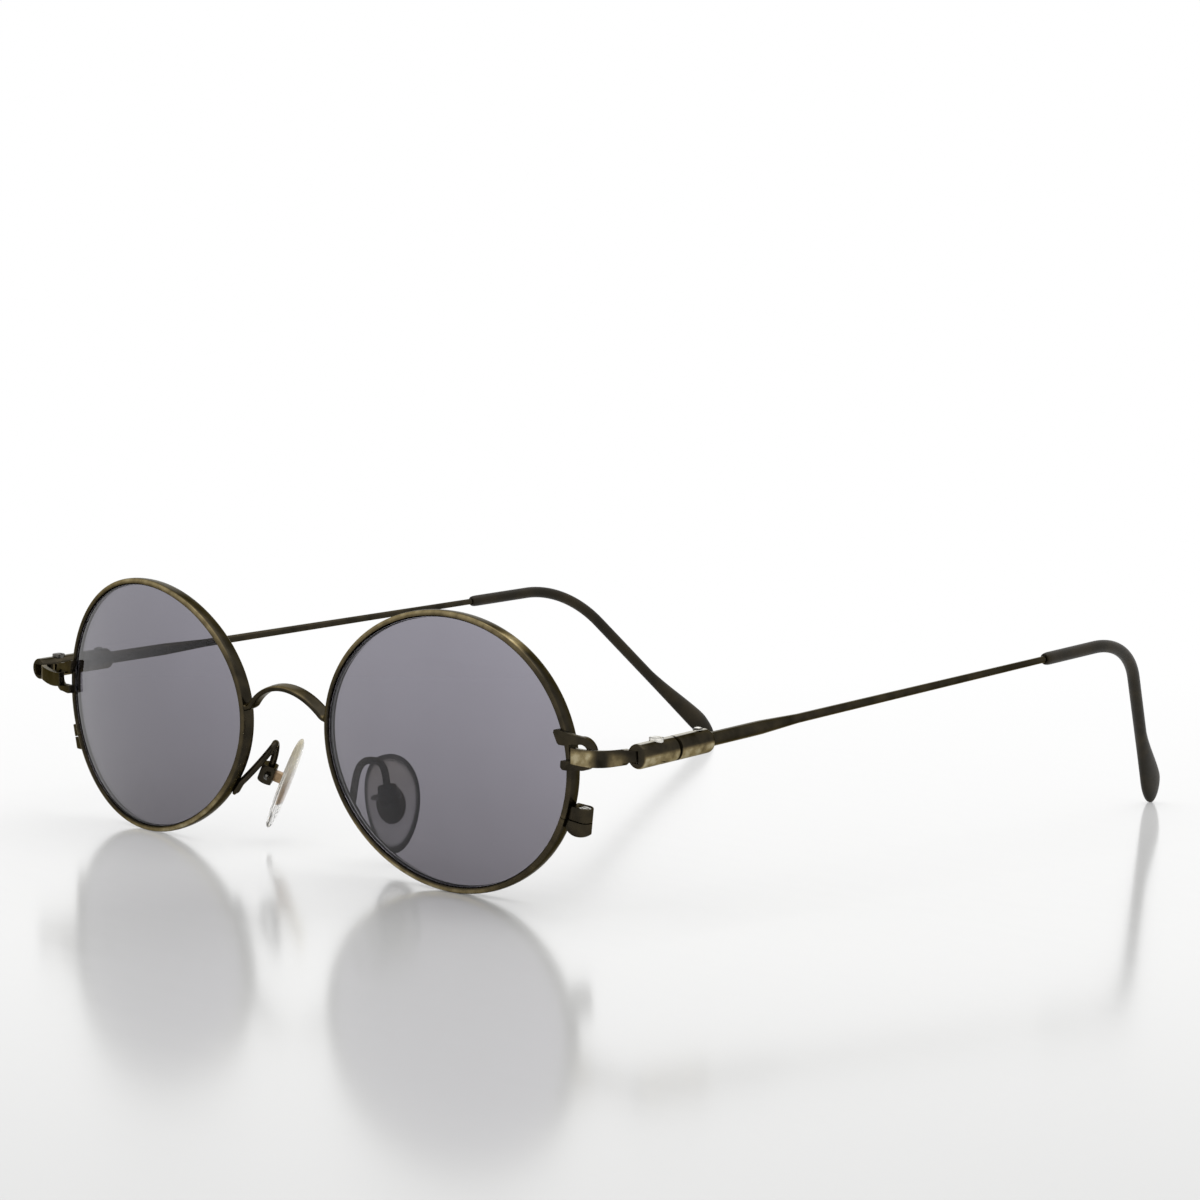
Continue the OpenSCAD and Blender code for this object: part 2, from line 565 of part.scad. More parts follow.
// The strap seen from above: two straight runs, a bend and the eye
module strap_plan(h) {
    z0 = -h / 2;
    first_run = strap_cross - strap_cut - strap_start;
    translate([strap_p[0], strap_p[1], 0]) rotate([0, 0, end_slope])
        translate([strap_start, -strap_t / 2, z0]) cube([first_run + eps, strap_t, h]);
    centre = corner - strap_dir * strap_cut + [-strap_dir[1], strap_dir[0]] * strap_r;
    translate([centre[0], centre[1], 0]) rotate([0, 0, end_slope - 90])
        rotate_extrude(angle = strap_turn, $fn = 72) translate([strap_r - strap_t / 2, z0])
            square([strap_t, h]);
    translate([hinge[0], hinge[1], 0]) rotate([0, 0, splay])
        translate([-strap_t / 2, -hinge_run - eps, z0]) cube([strap_t, hinge_run + eps, h]);
    translate([hinge[0], hinge[1], z0]) cylinder(r = eye_r, h = h);
}

// Height of the strap along its run: it sags, swells, climbs to the hinge and steps down to the tongue
module end_strap() color(brass) stand() {
    low = -hinge_lift - strap_drop;
    high = -slot_drop - 0.15;
    tongue = tongue_h / 2;
    shoulder = hinge[0] - tube_r - 0.2;
    start = strap_p[0] + strap_start - 1;
    mid = [for (k = [0:0.1:1]) bezier(low + 0.3, low - 0.25, low - 0.1, high, k)];
    half = [for (k = [0:0.1:1]) strap_h / 2 + 0.12 * sin(150 * k)];
    run = [for (k = [0:0.1:1]) mix(start, shoulder, k)];
    difference() {
        translate([0, 0, hinge[2]]) intersection() {
            strap_plan(4 * strap_h);
            translate([0, hinge[1] + cut, 0]) rotate([90, 0, 0]) linear_extrude(4 * cut) polygon(concat(
                [for (i = [0:10]) [run[i], mid[i] - half[i]]],
                [[shoulder + 0.3, -slot_drop - tongue], [hinge[0] + cut, -slot_drop - tongue],
                    [hinge[0] + cut, tongue - slot_drop], [shoulder + 0.3, tongue - slot_drop]],
                [for (i = [10:-1:0]) [run[i], mid[i] + half[i]]]));
        }
        translate(hinge - [0, 0, cut]) cylinder(r = screw_r + running_gap, h = 2 * cut);
    }
}

module pad_arm() color(bronze) stand() skin(arm_rings);

module pad_box() color(bronze) stand() at_pad() translate([0, -box_back, box_up]) difference() {
    intersection() {
        translate([-box_w / 2, -1.25, -box_h / 2]) cube([box_w, 2.1, box_h]);
        sphere(r = box_round, $fn = 48);
    }
    translate([-box_cavity / 2, -stem_eye - 0.12, 0.3 - box_h / 2]) cube([box_cavity, cut, box_h - 0.6]);
    translate([-cut, 0, 0]) rotate([0, 90, 0]) cylinder(r = pad_screw_r + snug_gap, h = 2 * cut);
}

module pad_screw() color(brass) stand() at_pad() translate([0, -box_back, box_up]) rotate([0, 90, 0]) {
    translate([0, 0, -box_w / 2 - 0.75]) cylinder(r = pad_screw_r, h = box_w + 0.75 + face_gap + 0.2);
    translate([0, 0, -box_w / 2 - 1.15]) cylinder(r1 = pad_screw_r * 0.4, r2 = pad_screw_r, h = 0.4 + eps);
    translate([0, 0, box_w / 2 + face_gap - eps]) rotate_extrude($fn = 32)
        polygon([[0, 0], [0.68, 0], [0.68, 0.22], [0.5, 0.4], [0, 0.45]]);
}

// Metal core of the pad: an oval plate with a post that ends in an eye
module pad_core() color(brass) stand() at_pad() {
    plate = [for (i = [0:23]) [plate_w / 2 * cos(15 * i), plate_up + plate_h / 2 * sin(15 * i)]];
    translate([0, plate_y, 0]) rotate([90, 0, 0]) translate([0, 0, -plate_t]) linear_extrude(plate_t)
        polygon(plate);
    difference() {
        union() {
            translate([-stem_w / 2, -box_back, box_up]) rotate([0, 90, 0])
                cylinder(r = stem_eye, h = stem_w);
            translate([-stem_w / 2, -box_back, box_up - stem_eye])
                cube([stem_w, box_back + plate_y + eps, 2 * stem_eye]);
        }
        translate([-cut, -box_back, box_up]) rotate([0, 90, 0])
            cylinder(r = pad_screw_r + running_gap, h = 2 * cut);
    }
}

module nose_pad() color(clear) stand() at_pad() difference() {
    skin(pad_rings);
    pocket = [for (i = [0:23]) [(plate_w / 2 + snug_gap) * cos(15 * i),
        plate_up + (plate_h / 2 + snug_gap) * sin(15 * i)]];
    translate([0, plate_y + plate_t + snug_gap, 0]) rotate([90, 0, 0]) linear_extrude(cut) polygon(pocket);
}

module hinge_barrel() color(brass) stand() difference() {
    at_hinge() along_tube() rotate_extrude($fn = 64)
        polygon(tube_profile(tube_r, -tube_front, tube_rear, 0.5, part_round));
    at_hinge() along_tube() translate([0, 0, plunger_from]) cylinder(r = plunger_r + snug_gap, h = cut);
    translate(hinge) rotate([0, 0, splay]) translate([-cut, -cut, -slot_drop - slot_h / 2])
        cube([cut + slot_side, cut + slot_rear, slot_h]);
    translate(hinge - [0, 0, slot_drop + slot_h / 2]) cylinder(r = eye_r + 0.1, h = slot_h);
    translate(hinge - [0, 0, cut]) cylinder(r = screw_r + snug_gap, h = 2 * cut);
    translate(hinge + [0, 0, screw_seat]) cylinder(r = screw_head_r + snug_gap, h = cut);
}

// The screw's low domed head stands proud of the tube
module hinge_screw() color(bronze) stand() translate(hinge) difference() {
    dome = 0.16;
    union() {
        translate([0, 0, screw_low]) cylinder(r = screw_r, h = screw_seat - screw_low + eps + face_gap);
        translate([0, 0, screw_seat + face_gap])
            cylinder(r = screw_head_r, h = screw_top - dome - screw_seat - face_gap);
        translate([0, 0, screw_top - dome]) rotate_extrude()
            polygon([[0, -eps], [screw_head_r, -eps], [screw_head_r, 0],
                for (q = [20:20:80]) [screw_head_r * cos(q), dome * sin(q)], [0, dome]]);
    }
    translate([-cut / 2, -0.14, screw_top - 0.2]) cube([cut, 0.28, cut]);
}

module plunger() color(brass) stand() at_hinge() along_tube() {
    translate([0, 0, plunger_from + face_gap]) cylinder(r = plunger_r, h = spring_to - plunger_from);
    translate([0, 0, spring_to]) cylinder(r = tube_bore - running_gap - 0.05, h = plunger_head);
}

// A coil spring in one unbroken wire, with its ends closed down to flat turns
module hinge_spring() color(brass) stand() at_hinge() along_tube() {
    length = spring_to - spring_from - spring_wire - 0.1;
    count = spring_turns * spring_steps;
    rings = [for (i = [0:count])
        let (a = 360 * i / spring_steps, z = spring_from + spring_wire / 2 + 0.05 + length * i / count)
        [for (j = [0:spring_sides - 1]) let (b = 360 * j / spring_sides,
            r = spring_r + spring_wire / 2 * cos(b))
            [r * cos(a), r * sin(a), z + spring_wire / 2 * sin(b)]]];
    skin(rings);
}

module spring_tube() color(brass) stand() at_hinge() difference() {
    along_tube() rotate_extrude($fn = 64)
        polygon(tube_profile(tube_r, tube_split, tube_end, part_round, 0.75));
    along_tube() translate([0, 0, tube_split - cut]) cylinder(r = plunger_r + running_gap, h = 2 * cut);
    along_tube() translate([0, 0, spring_from]) cylinder(r = tube_bore, h = spring_tube_l);
    translate([0, tube_end - pin_back, -cut]) cylinder(r = pin_r + snug_gap, h = 2 * cut);
}

// Cross pin with a domed head, through the spring tube and the temple's plug
module tube_pin() color(brass) stand() at_hinge() translate([0, tube_end - pin_back, 0]) {
    translate([0, 0, -tube_r + 0.05]) cylinder(r = pin_r, h = 2 * tube_r - 0.1);
    translate([0, 0, tube_r - 0.06]) rotate_extrude($fn = 40)
        polygon([[0, 0], [pin_r + 0.02, 0], for (q = [0:15:90]) [0.66 * cos(q), 0.06 + 0.36 * sin(q)]]);
}

module temple() color(bronze) stand() at_hinge() {
    run_on = 0.3; // how far the straight runs reach into the bend
    difference() {
        along_tube() rotate_extrude($fn = 48) polygon([[0, plug_from], [plug_r, plug_from],
            [plug_r, tube_end - 0.2], [bar_r, tube_end - 0.1], [bar_r, bar_end], [thin_r, thin_from],
            [wire_r + 0.03, straight_l + run_on], [0, straight_l + run_on]]);
        translate([0, tube_end - pin_back, -cut]) cylinder(r = pin_r + snug_gap, h = 2 * cut);
    }
    rotate([0, bend_lean, 0]) translate([0, straight_l, -bend_r]) {
        rotate([0, -90, 0]) rotate_extrude(angle = bend_drop, $fn = 96) translate([bend_r, 0])
            circle(wire_r);
        rotate([-bend_drop, 0, 0]) translate([0, -run_on, bend_r]) along_tube()
            cylinder(r = wire_r + 0.03, h = tail_l - wire_stop + run_on);
    }
}

module temple_tip() color(tortoise) stand() at_hinge() skin(tip_rings);

bridge();
rim();  // left_rim
right() rim();  // right_rim
lens();  // left_lens
right() lens();  // right_lens
closing_block_upper();  // left_closing_block_upper
right() closing_block_upper();  // right_closing_block_upper
closing_block_lower();  // left_closing_block_lower
right() closing_block_lower();  // right_closing_block_lower
closing_screw();  // left_closing_screw
right() closing_screw();  // right_closing_screw
end_loop();  // left_end_loop
right() end_loop();  // right_end_loop
end_strap();  // left_end_strap
right() end_strap();  // right_end_strap
pad_arm();  // left_pad_arm
right() pad_arm();  // right_pad_arm
pad_box();  // left_pad_box
right() pad_box();  // right_pad_box
pad_screw();  // left_pad_screw
right() pad_screw();  // right_pad_screw
pad_core();  // left_pad_core
right() pad_core();  // right_pad_core
nose_pad();  // left_nose_pad
right() nose_pad();  // right_nose_pad
hinge_barrel();  // left_hinge_barrel
right() hinge_barrel();  // right_hinge_barrel
hinge_screw();  // left_hinge_screw
right() hinge_screw();  // right_hinge_screw
plunger();  // left_plunger
right() plunger();  // right_plunger
hinge_spring();  // left_hinge_spring
right() hinge_spring();  // right_hinge_spring
spring_tube();  // left_spring_tube
right() spring_tube();  // right_spring_tube
tube_pin();  // left_tube_pin
right() tube_pin();  // right_tube_pin
temple();  // left_temple
right() temple();  // right_temple
temple_tip();  // left_temple_tip
right() temple_tip();  // right_temple_tip
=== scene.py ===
# Oval wire-frame sunglasses, open on a white table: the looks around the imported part.
import json
import math
import bmesh
import bpy
import numpy as np
from mathutils import Matrix, Vector


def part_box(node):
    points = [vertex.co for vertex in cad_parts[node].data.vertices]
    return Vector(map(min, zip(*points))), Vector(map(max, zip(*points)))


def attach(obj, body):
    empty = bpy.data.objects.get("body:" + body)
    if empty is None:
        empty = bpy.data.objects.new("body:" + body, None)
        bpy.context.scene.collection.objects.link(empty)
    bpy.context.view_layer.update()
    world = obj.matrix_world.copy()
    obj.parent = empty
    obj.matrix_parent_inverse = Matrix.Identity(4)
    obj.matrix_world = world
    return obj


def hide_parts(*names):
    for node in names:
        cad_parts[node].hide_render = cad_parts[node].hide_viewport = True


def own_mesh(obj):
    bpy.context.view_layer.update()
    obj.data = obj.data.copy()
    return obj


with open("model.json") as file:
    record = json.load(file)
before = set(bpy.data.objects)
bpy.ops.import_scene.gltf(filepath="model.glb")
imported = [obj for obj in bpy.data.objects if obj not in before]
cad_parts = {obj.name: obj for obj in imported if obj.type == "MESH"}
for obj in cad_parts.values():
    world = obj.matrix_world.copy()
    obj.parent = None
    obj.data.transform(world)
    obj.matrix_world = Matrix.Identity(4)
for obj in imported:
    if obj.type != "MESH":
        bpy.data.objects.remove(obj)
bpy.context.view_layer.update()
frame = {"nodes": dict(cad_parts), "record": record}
print("frame loaded:", len(frame["nodes"]), "nodes")


# shared maths, in millimetres in the front's own frame: y = 0 foremost, z = 0 at mid height

def unit(v):
    # a vector, or rows of vectors, at length one
    return v / np.linalg.norm(v, axis=-1, keepdims=True)


def turnX(p, degrees):
    # p turned about the x axis
    c, s = math.cos(math.radians(degrees)), math.sin(math.radians(degrees))
    return np.stack([p[..., 0], p[..., 1] * c - p[..., 2] * s, p[..., 1] * s + p[..., 2] * c], -1)


def turnY(p, degrees):
    # p turned about the y axis
    c, s = math.cos(math.radians(degrees)), math.sin(math.radians(degrees))
    return np.stack([p[..., 0] * c + p[..., 2] * s, p[..., 1], p[..., 2] * c - p[..., 0] * s], -1)


def turnZ(p, degrees):
    # p turned about the z axis
    c, s = math.cos(math.radians(degrees)), math.sin(math.radians(degrees))
    return np.stack([p[..., 0] * c - p[..., 1] * s, p[..., 0] * s + p[..., 1] * c, p[..., 2]], -1)


def smooth(k):
    # 0 to 1 with level ends
    k = np.clip(k, 0, 1)
    return k * k * (3 - 2 * k)


def bezier(a, b, c, d, k):
    # the cubic curve from a to d with handles b and c
    k = np.asarray(k)[:, None]
    return a * (1 - k) ** 3 + b * 3 * k * (1 - k) ** 2 + c * 3 * k * k * (1 - k) + d * k ** 3


# the front's form

lensForm = {"width": 45.8, "height": 35.7, "noseGap": 20.0, "baseRadius": 114.0, "egg": 0.069,
            "ovalTurn": 1.9, "wrap": 3.2, "tilt": 1.9, "thickness": 1.5, "inset": 0.1}
rimForm = {"thick": 0.88, "depth": 2.3, "groove": 0.4, "grooveHalf": 0.4, "grooveFloor": 0.03, "lip": 0.18,
           "bandSquare": 0.6, "closeLow": 6.6, "slit": 0.1, "steps": 420}
rimMiddle = lensForm["noseGap"] / 2 + lensForm["width"] / 2


def ovalPoint(t, dr):
    # an ellipse a little fuller outside than inside, moved outward by dr along its normal, then turned
    a, b = lensForm["width"] / 2, lensForm["height"] / 2
    n = unit(np.stack([b * (np.cos(t) + lensForm["egg"] * np.cos(2 * t)), a * np.sin(t)], -1))
    qx = a * np.cos(t) + dr * n[..., 0]
    qz = b * np.sin(t) * (1 + lensForm["egg"] * np.cos(t)) + dr * n[..., 1]
    c, s = math.cos(math.radians(lensForm["ovalTurn"])), math.sin(math.radians(lensForm["ovalTurn"]))
    return qx * c + qz * s, qz * c - qx * s


def onSphere(qx, qz, n):
    # a point of the flat oval laid on the base sphere, n behind the middle of the rim wire
    r = lensForm["baseRadius"]
    k = (r - rimForm["depth"] / 2 - n) / r
    return np.stack([qx * k, r - k * np.sqrt(r * r - qx * qx - qz * qz), qz * k], -1)


def inFront(p):
    # the lens's place in the front: wrapped round the face, set out from the nose, top leaned forward
    return turnX(turnZ(p, lensForm["wrap"]) + np.array([rimMiddle, 0, 0]), lensForm["tilt"])


def rimPoint(t, dr, n):
    # the point at angle t, dr outward of the opening's edge and n behind the middle of the rim wire
    qx, qz = ovalPoint(t, dr)
    return inFront(onSphere(qx, qz, n))


def angleAt(up, side):
    # the angle, to a hundredth of a degree, at which the opening's edge has this height: its outer edge
    # for side 1 and its inner edge for side -1
    t = np.radians(np.linspace(-80, 80, 16001))
    if side < 0:
        t = np.pi - t
    return float(t[np.argmin(np.abs(ovalPoint(t, 0.0)[1] - up))])


# where the front stands in the row frame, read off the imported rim

# facets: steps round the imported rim. corners: the foremost and outermost ones of its section, in shares
# of its thickness and depth
packedRim = {"facets": 96, "corners": ((0.55, -0.5), (0.86, -0.4), (1.0, -0.18), (1.0, 0.18))}
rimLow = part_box("left_rim")[0]
slitTurn = rimForm["slit"] / (lensForm["width"] / 2 + rimForm["thick"]) / 2   # half the slit, as an angle
rimTurn = 2 * np.pi - 2 * slitTurn   # from one side of the slit round to the other
closeAt = angleAt(-rimForm["closeLow"], 1)
probeAt = closeAt + slitTurn + rimTurn * np.arange(packedRim["facets"] + 1) / packedRim["facets"]
probe = np.concatenate([rimPoint(probeAt, rimForm["thick"] * out, rimForm["depth"] * back)
                        for out, back in packedRim["corners"]])
shift = np.array([0, rimLow[1] * 1000 - probe[:, 1].min(), rimLow[2] * 1000 - probe[:, 2].min()])
print("front stands at", np.round(shift, 3))


def placed(p, side=1):
    # millimetres in the front's frame to metres in the row frame, mirrored for the right side
    return (p * np.array([side, 1, 1]) + shift) / 1000


hands = ((1, "left"), (-1, "right"))   # the sign of x on each side, and the side's name


# meshes

# angles in degrees, distances in metres
meshForm = {"skinSharp": 38, "easedSharp": 32, "easeFrom": 40, "easeSteps": 3, "flatWithin": 0.6,
            "weldWithin": 2e-6, "cutWithin": 1e-7}


def finishMesh(name, vertices, faces, attributes=None):
    # a closed mesh with its faces turned outward; attributes hold one number for each vertex
    mesh = bpy.data.meshes.new(name)
    mesh.from_pydata(vertices.tolist(), [], faces)
    for key, values in (attributes or {}).items():
        layer = mesh.attributes.new(key, "FLOAT", "POINT")
        layer.data.foreach_set("value", np.asarray(values, np.float32).ravel())
    work = bmesh.new()
    work.from_mesh(mesh)
    bmesh.ops.recalc_face_normals(work, faces=work.faces)
    work.to_mesh(mesh)
    work.free()
    mesh.shade_smooth()
    mesh.set_sharp_from_angle(angle=math.radians(meshForm["skinSharp"]))
    piece = bpy.data.objects.new(name, mesh)
    bpy.context.scene.collection.objects.link(piece)
    return piece


def gridFaces(rows, columns):
    # quads between rings; each ring is a closed loop of columns
    i = np.arange(rows - 1)[:, None]
    j = np.arange(columns)[None, :]
    after = (j + 1) % columns
    quads = np.stack(np.broadcast_arrays(i * columns + j, i * columns + after,
                                         (i + 1) * columns + after, (i + 1) * columns + j), -1)
    return quads.reshape(-1, 4).tolist()


def skin(name, rings, side=1, attributes=None):
    # a closed skin over rings of points, with a fan of triangles at each end
    rows, columns = rings.shape[:2]
    points = np.concatenate([rings.reshape(-1, 3), rings[0].mean(0)[None], rings[-1].mean(0)[None]])
    values = {key: np.asarray(v, float).ravel() for key, v in (attributes or {}).items()}
    values = {key: np.concatenate([v, [v[:columns].mean(), v[-columns:].mean()]])
              for key, v in values.items()}
    j = np.arange(columns)
    k = (j + 1) % columns
    start, last = rows * columns, (rows - 1) * columns
    faces = gridFaces(rows, columns)
    faces += np.stack([np.full(columns, start), k, j], -1).tolist()
    faces += np.stack([np.full(columns, start + 1), last + j, last + k], -1).tolist()
    return finishMesh(name, placed(points, side), faces, values)


def sweptRings(path, radii, sides, reference):
    # circles of the given radii square to a path; reference fixes where each circle starts
    along = unit(np.gradient(path, axis=0))
    across = unit(np.cross(along, reference))
    up = np.cross(across, along)
    a = np.linspace(0, 2 * np.pi, sides, endpoint=False)
    ring = across[:, None, :] * np.cos(a)[None, :, None] + up[:, None, :] * np.sin(a)[None, :, None]
    return path[:, None, :] + np.asarray(radii)[:, None, None] * ring


def vertexRows(mesh, key):
    # a row of x, y and z for each vertex: its place for "co", its direction for "normal"
    rows = np.zeros(len(mesh.vertices) * 3, np.float32)
    mesh.vertices.foreach_get(key, rows)
    return rows.reshape(-1, 3)


bodyOf = {node: body for body, nodes in frame["record"]["behaviour"]["bodies"].items() for node in nodes}
slotOf = {part["node"]: part["material_slot"] for part in frame["record"]["subparts"]}


def dress(piece, node):
    # the piece takes a node's place, body, record slot and finish
    piece.data.materials.clear()
    piece.data.materials.append(finishes[slotOf[node]])
    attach(piece, bodyOf[node])
    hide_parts(node)


def wearAndReflectionToward(lean, low, high, most):
    # wear and painted reflection that grow as the surface turns towards lean
    lean = np.array(lean, float)
    return lambda p, n: most * smooth((n @ lean - low) / (high - low))


def evenly(most):
    # the same wear all over
    return lambda p, n: np.full(len(p), most)


# topFrom, topOver: how level a surface must be to get the painted top highlight. edgeGain: how soon an edge
# counts as fully sharp
topHighlightForm = {"topFrom": 0.93, "topOver": 0.05, "edgeGain": 3}


def markWear(piece, side, wearAndLightOf, paintedTopHighlight=0.0):
    # one attribute: how much of the dark plating is worn off, together with painted reflection and painted
    # shade, worked out from place and normal on the left side; another: how sharply the surface turns at
    # each vertex;
    # the last: a painted highlight along the top.
    mesh = piece.data
    mirror = np.array([side, 1, 1])
    normals = vertexRows(mesh, "normal") * mirror
    places = (vertexRows(mesh, "co") * 1000 - shift) * mirror
    pairs = np.zeros(len(mesh.edges) * 2, np.int32)
    mesh.edges.foreach_get("vertices", pairs)
    pairs = pairs.reshape(-1, 2)
    bend = 1 - np.sum(normals[pairs[:, 0]] * normals[pairs[:, 1]], -1)
    edge = np.zeros(len(mesh.vertices))
    np.maximum.at(edge, pairs[:, 0], bend)
    np.maximum.at(edge, pairs[:, 1], bend)
    edge = np.clip(edge * topHighlightForm["edgeGain"], 0, 1)
    # painted highlight on surfaces that face up
    top = paintedTopHighlight * smooth((normals[:, 2] - topHighlightForm["topFrom"]) / topHighlightForm["topOver"])
    for key, values in (("wearDirtAndPaintedLight", wearAndLightOf(places, normals)), ("edge", edge), ("paintedTopHighlight", top)):
        layer = mesh.attributes.get(key) or mesh.attributes.new(key, "FLOAT", "POINT")
        layer.data.foreach_set("value", np.asarray(values, np.float32))


def sliced(mesh, cuts):
    # the mesh cut along planes, each cut a direction, a first and last place and a spacing
    work = bmesh.new()
    work.from_mesh(mesh)
    for direction, first, last, spacing in cuts:
        normal = Vector(direction).normalized()
        for place in np.arange(first, last, spacing):
            at = normal * (place / 1000) + Vector(shift / 1000)
            bmesh.ops.bisect_plane(work, geom=work.verts[:] + work.edges[:] + work.faces[:],
                                   dist=meshForm["cutWithin"], plane_co=at, plane_no=normal)
    work.to_mesh(mesh)
    work.free()


def refined(node, width, cuts):
    # a merged copy of a CAD node, its sharp edges rounded to the given width in millimetres, then sliced
    mesh = frame["nodes"][node].data.copy()
    mesh.materials.clear()
    work = bmesh.new()
    work.from_mesh(mesh)
    bmesh.ops.remove_doubles(work, verts=work.verts, dist=meshForm["weldWithin"])
    bmesh.ops.dissolve_limit(work, angle_limit=math.radians(meshForm["flatWithin"]), verts=work.verts,
                             edges=work.edges)
    work.to_mesh(mesh)
    work.free()
    piece = bpy.data.objects.new(node + "_finish", mesh)
    bpy.context.scene.collection.objects.link(piece)
    if width > 0:
        bevel = piece.modifiers.new("edges", "BEVEL")
        bevel.width = width / 1000
        bevel.segments = meshForm["easeSteps"]
        bevel.limit_method = "ANGLE"
        bevel.angle_limit = math.radians(meshForm["easeFrom"])
        bevel.use_clamp_overlap = True
        bpy.context.view_layer.update()
        solid = bpy.data.meshes.new_from_object(piece.evaluated_get(bpy.context.evaluated_depsgraph_get()))
        piece.modifiers.clear()
        piece.data = solid
    sliced(piece.data, cuts)
    piece.data.shade_smooth()
    piece.data.set_sharp_from_angle(angle=math.radians(meshForm["easedSharp"]))
    return piece


# finishes

def newMaterial(name):
    # a material with one shader wired to its output, and the node tree to add to
    material = bpy.data.materials.new(name)
    material.use_nodes = True
    tree = material.node_tree
    tree.nodes.clear()
    out = tree.nodes.new("ShaderNodeOutputMaterial")
    shader = tree.nodes.new("ShaderNodeBsdfPrincipled")
    tree.links.new(shader.outputs[0], out.inputs[0])
    return material, tree, shader


def grain(tree, scale, detail=3.0, stretch=(1, 1, 1)):
    # noise over the piece's own metres, mostly between 0.3 and 0.7; stretch draws it out along an axis
    place = tree.nodes.new("ShaderNodeTexCoord")
    mapping = tree.nodes.new("ShaderNodeMapping")
    mapping.inputs["Scale"].default_value = stretch
    noise = tree.nodes.new("ShaderNodeTexNoise")
    noise.inputs["Scale"].default_value = scale
    noise.inputs["Detail"].default_value = detail
    tree.links.new(place.outputs["Object"], mapping.inputs["Vector"])
    tree.links.new(mapping.outputs[0], noise.inputs["Vector"])
    return noise.outputs["Fac"]


def scaled(tree, value, low, high, outLow=0.0, outHigh=1.0):
    # a value between low and high spread over another range
    node = tree.nodes.new("ShaderNodeMapRange")
    node.inputs["From Min"].default_value = low
    node.inputs["From Max"].default_value = high
    node.inputs["To Min"].default_value = outLow
    node.inputs["To Max"].default_value = outHigh
    tree.links.new(value, node.inputs["Value"])
    return node.outputs[0]


def maths(tree, operation, first, second):
    # two values put together by one operation, each of them a number or a socket
    node = tree.nodes.new("ShaderNodeMath")
    node.operation = operation
    for socket, value in zip(node.inputs, (first, second)):
        if isinstance(value, (int, float)):
            socket.default_value = value
        else:
            tree.links.new(value, socket)
    return node.outputs[0]


def blended(tree, share, first, second):
    # two colours mixed by a share; inputs 6 and 7 and output 2 are the node's colour sockets
    node = tree.nodes.new("ShaderNodeMix")
    node.data_type = "RGBA"
    tree.links.new(share, node.inputs["Factor"])
    for socket, value in ((node.inputs[6], first), (node.inputs[7], second)):
        if isinstance(value, tuple):
            socket.default_value = (*value, 1)
        else:
            tree.links.new(value, socket)
    return node.outputs[2]


def bumped(tree, shader, height, depth):
    # fine relief, depth in millimetres
    node = tree.nodes.new("ShaderNodeBump")
    node.inputs["Strength"].default_value = 1
    node.inputs["Distance"].default_value = depth / 1000
    tree.links.new(height, node.inputs["Height"])
    tree.links.new(node.outputs[0], shader.inputs["Normal"])


def attribute(tree, name):
    # a number that the mesh holds for each of its vertices
    node = tree.nodes.new("ShaderNodeAttribute")
    node.attribute_name = name
    return node.outputs["Fac"]


def ramp(tree, value, stops):
    # colours along a value, each stop a place from 0 to 1 and a colour
    node = tree.nodes.new("ShaderNodeValToRGB")
    marks = node.color_ramp.elements
    while len(marks) < len(stops):
        marks.new(0.5)
    for mark, (place, colour) in zip(marks, stops):
        mark.position = place
        mark.color = (*colour, 1)
    tree.links.new(value, node.inputs["Fac"])
    return node.outputs["Color"]


# the plating's colours from dirty to worn, which also carry painted reflection, where each comes in, the
# colour of the painted top highlight, and the scales and depths of its pattern
metalLook = {"grime": (0.006, 0.005, 0.003), "plating": (0.027, 0.0232, 0.0165),
             "bronze": (0.11, 0.086, 0.046), "brass": (0.25, 0.2, 0.105), "pale": (0.4, 0.345, 0.215),
             "paintedHighlight": (0.88, 0.86, 0.8), "grazing": (0.5, 0.48, 0.43), "platingAt": 0.12,
             "bronzeAt": 0.5, "brassAt": 0.8, "edgeWear": 0.12, "patchBase": 0.12, "cloudLow": 0.09,
             "cloudHigh": 0.16, "cloudScale": 320, "patchScale": 620, "fineScale": 4200,
             "cloudRelief": 3.0, "relief": 0.002}


def antiqueMetal(name, ragged, rough):
    # dark antique plating over brass: grime, plating, bronze and brass in turn, ragged where worn;
    # the worn colours also stand for painted reflection, and a painted highlight lies along the top
    look = metalLook
    material, tree, shader = newMaterial(name)
    cloud = grain(tree, look["cloudScale"], 3)
    fine = grain(tree, look["fineScale"], 2)
    edges = maths(tree, "MULTIPLY", attribute(tree, "edge"), look["edgeWear"])
    wearDirtAndPaintedLight = maths(tree, "ADD", attribute(tree, "wearDirtAndPaintedLight"), edges)
    uneven = scaled(tree, grain(tree, look["patchScale"], 4), 0.3, 0.7, -ragged, ragged)
    patches = maths(tree, "MULTIPLY", uneven, maths(tree, "ADD", wearDirtAndPaintedLight, look["patchBase"]))
    cloudy = scaled(tree, cloud, 0.35, 0.65, look["cloudLow"], look["cloudHigh"])
    wearDirtAndPaintedLight = maths(tree, "ADD", maths(tree, "ADD", wearDirtAndPaintedLight, patches), cloudy)
    metal = ramp(tree, wearDirtAndPaintedLight, ((0.0, look["grime"]), (look["platingAt"], look["plating"]),
                             (look["bronzeAt"], look["bronze"]), (look["brassAt"], look["brass"]),
                             (1.0, look["pale"])))
    # painted highlight: the top is blended towards a near-white colour
    tree.links.new(blended(tree, attribute(tree, "paintedTopHighlight"), metal, look["paintedHighlight"]),
                   shader.inputs["Base Color"])
    tree.links.new(scaled(tree, fine, 0.3, 0.7, rough[0], rough[1]), shader.inputs["Roughness"])
    shader.inputs["Metallic"].default_value = 1
    shader.inputs["Specular Tint"].default_value = (*look["grazing"], 1)
    height = maths(tree, "ADD", fine, maths(tree, "MULTIPLY", cloud, look["cloudRelief"]))
    bumped(tree, shader, height, look["relief"])
    return material


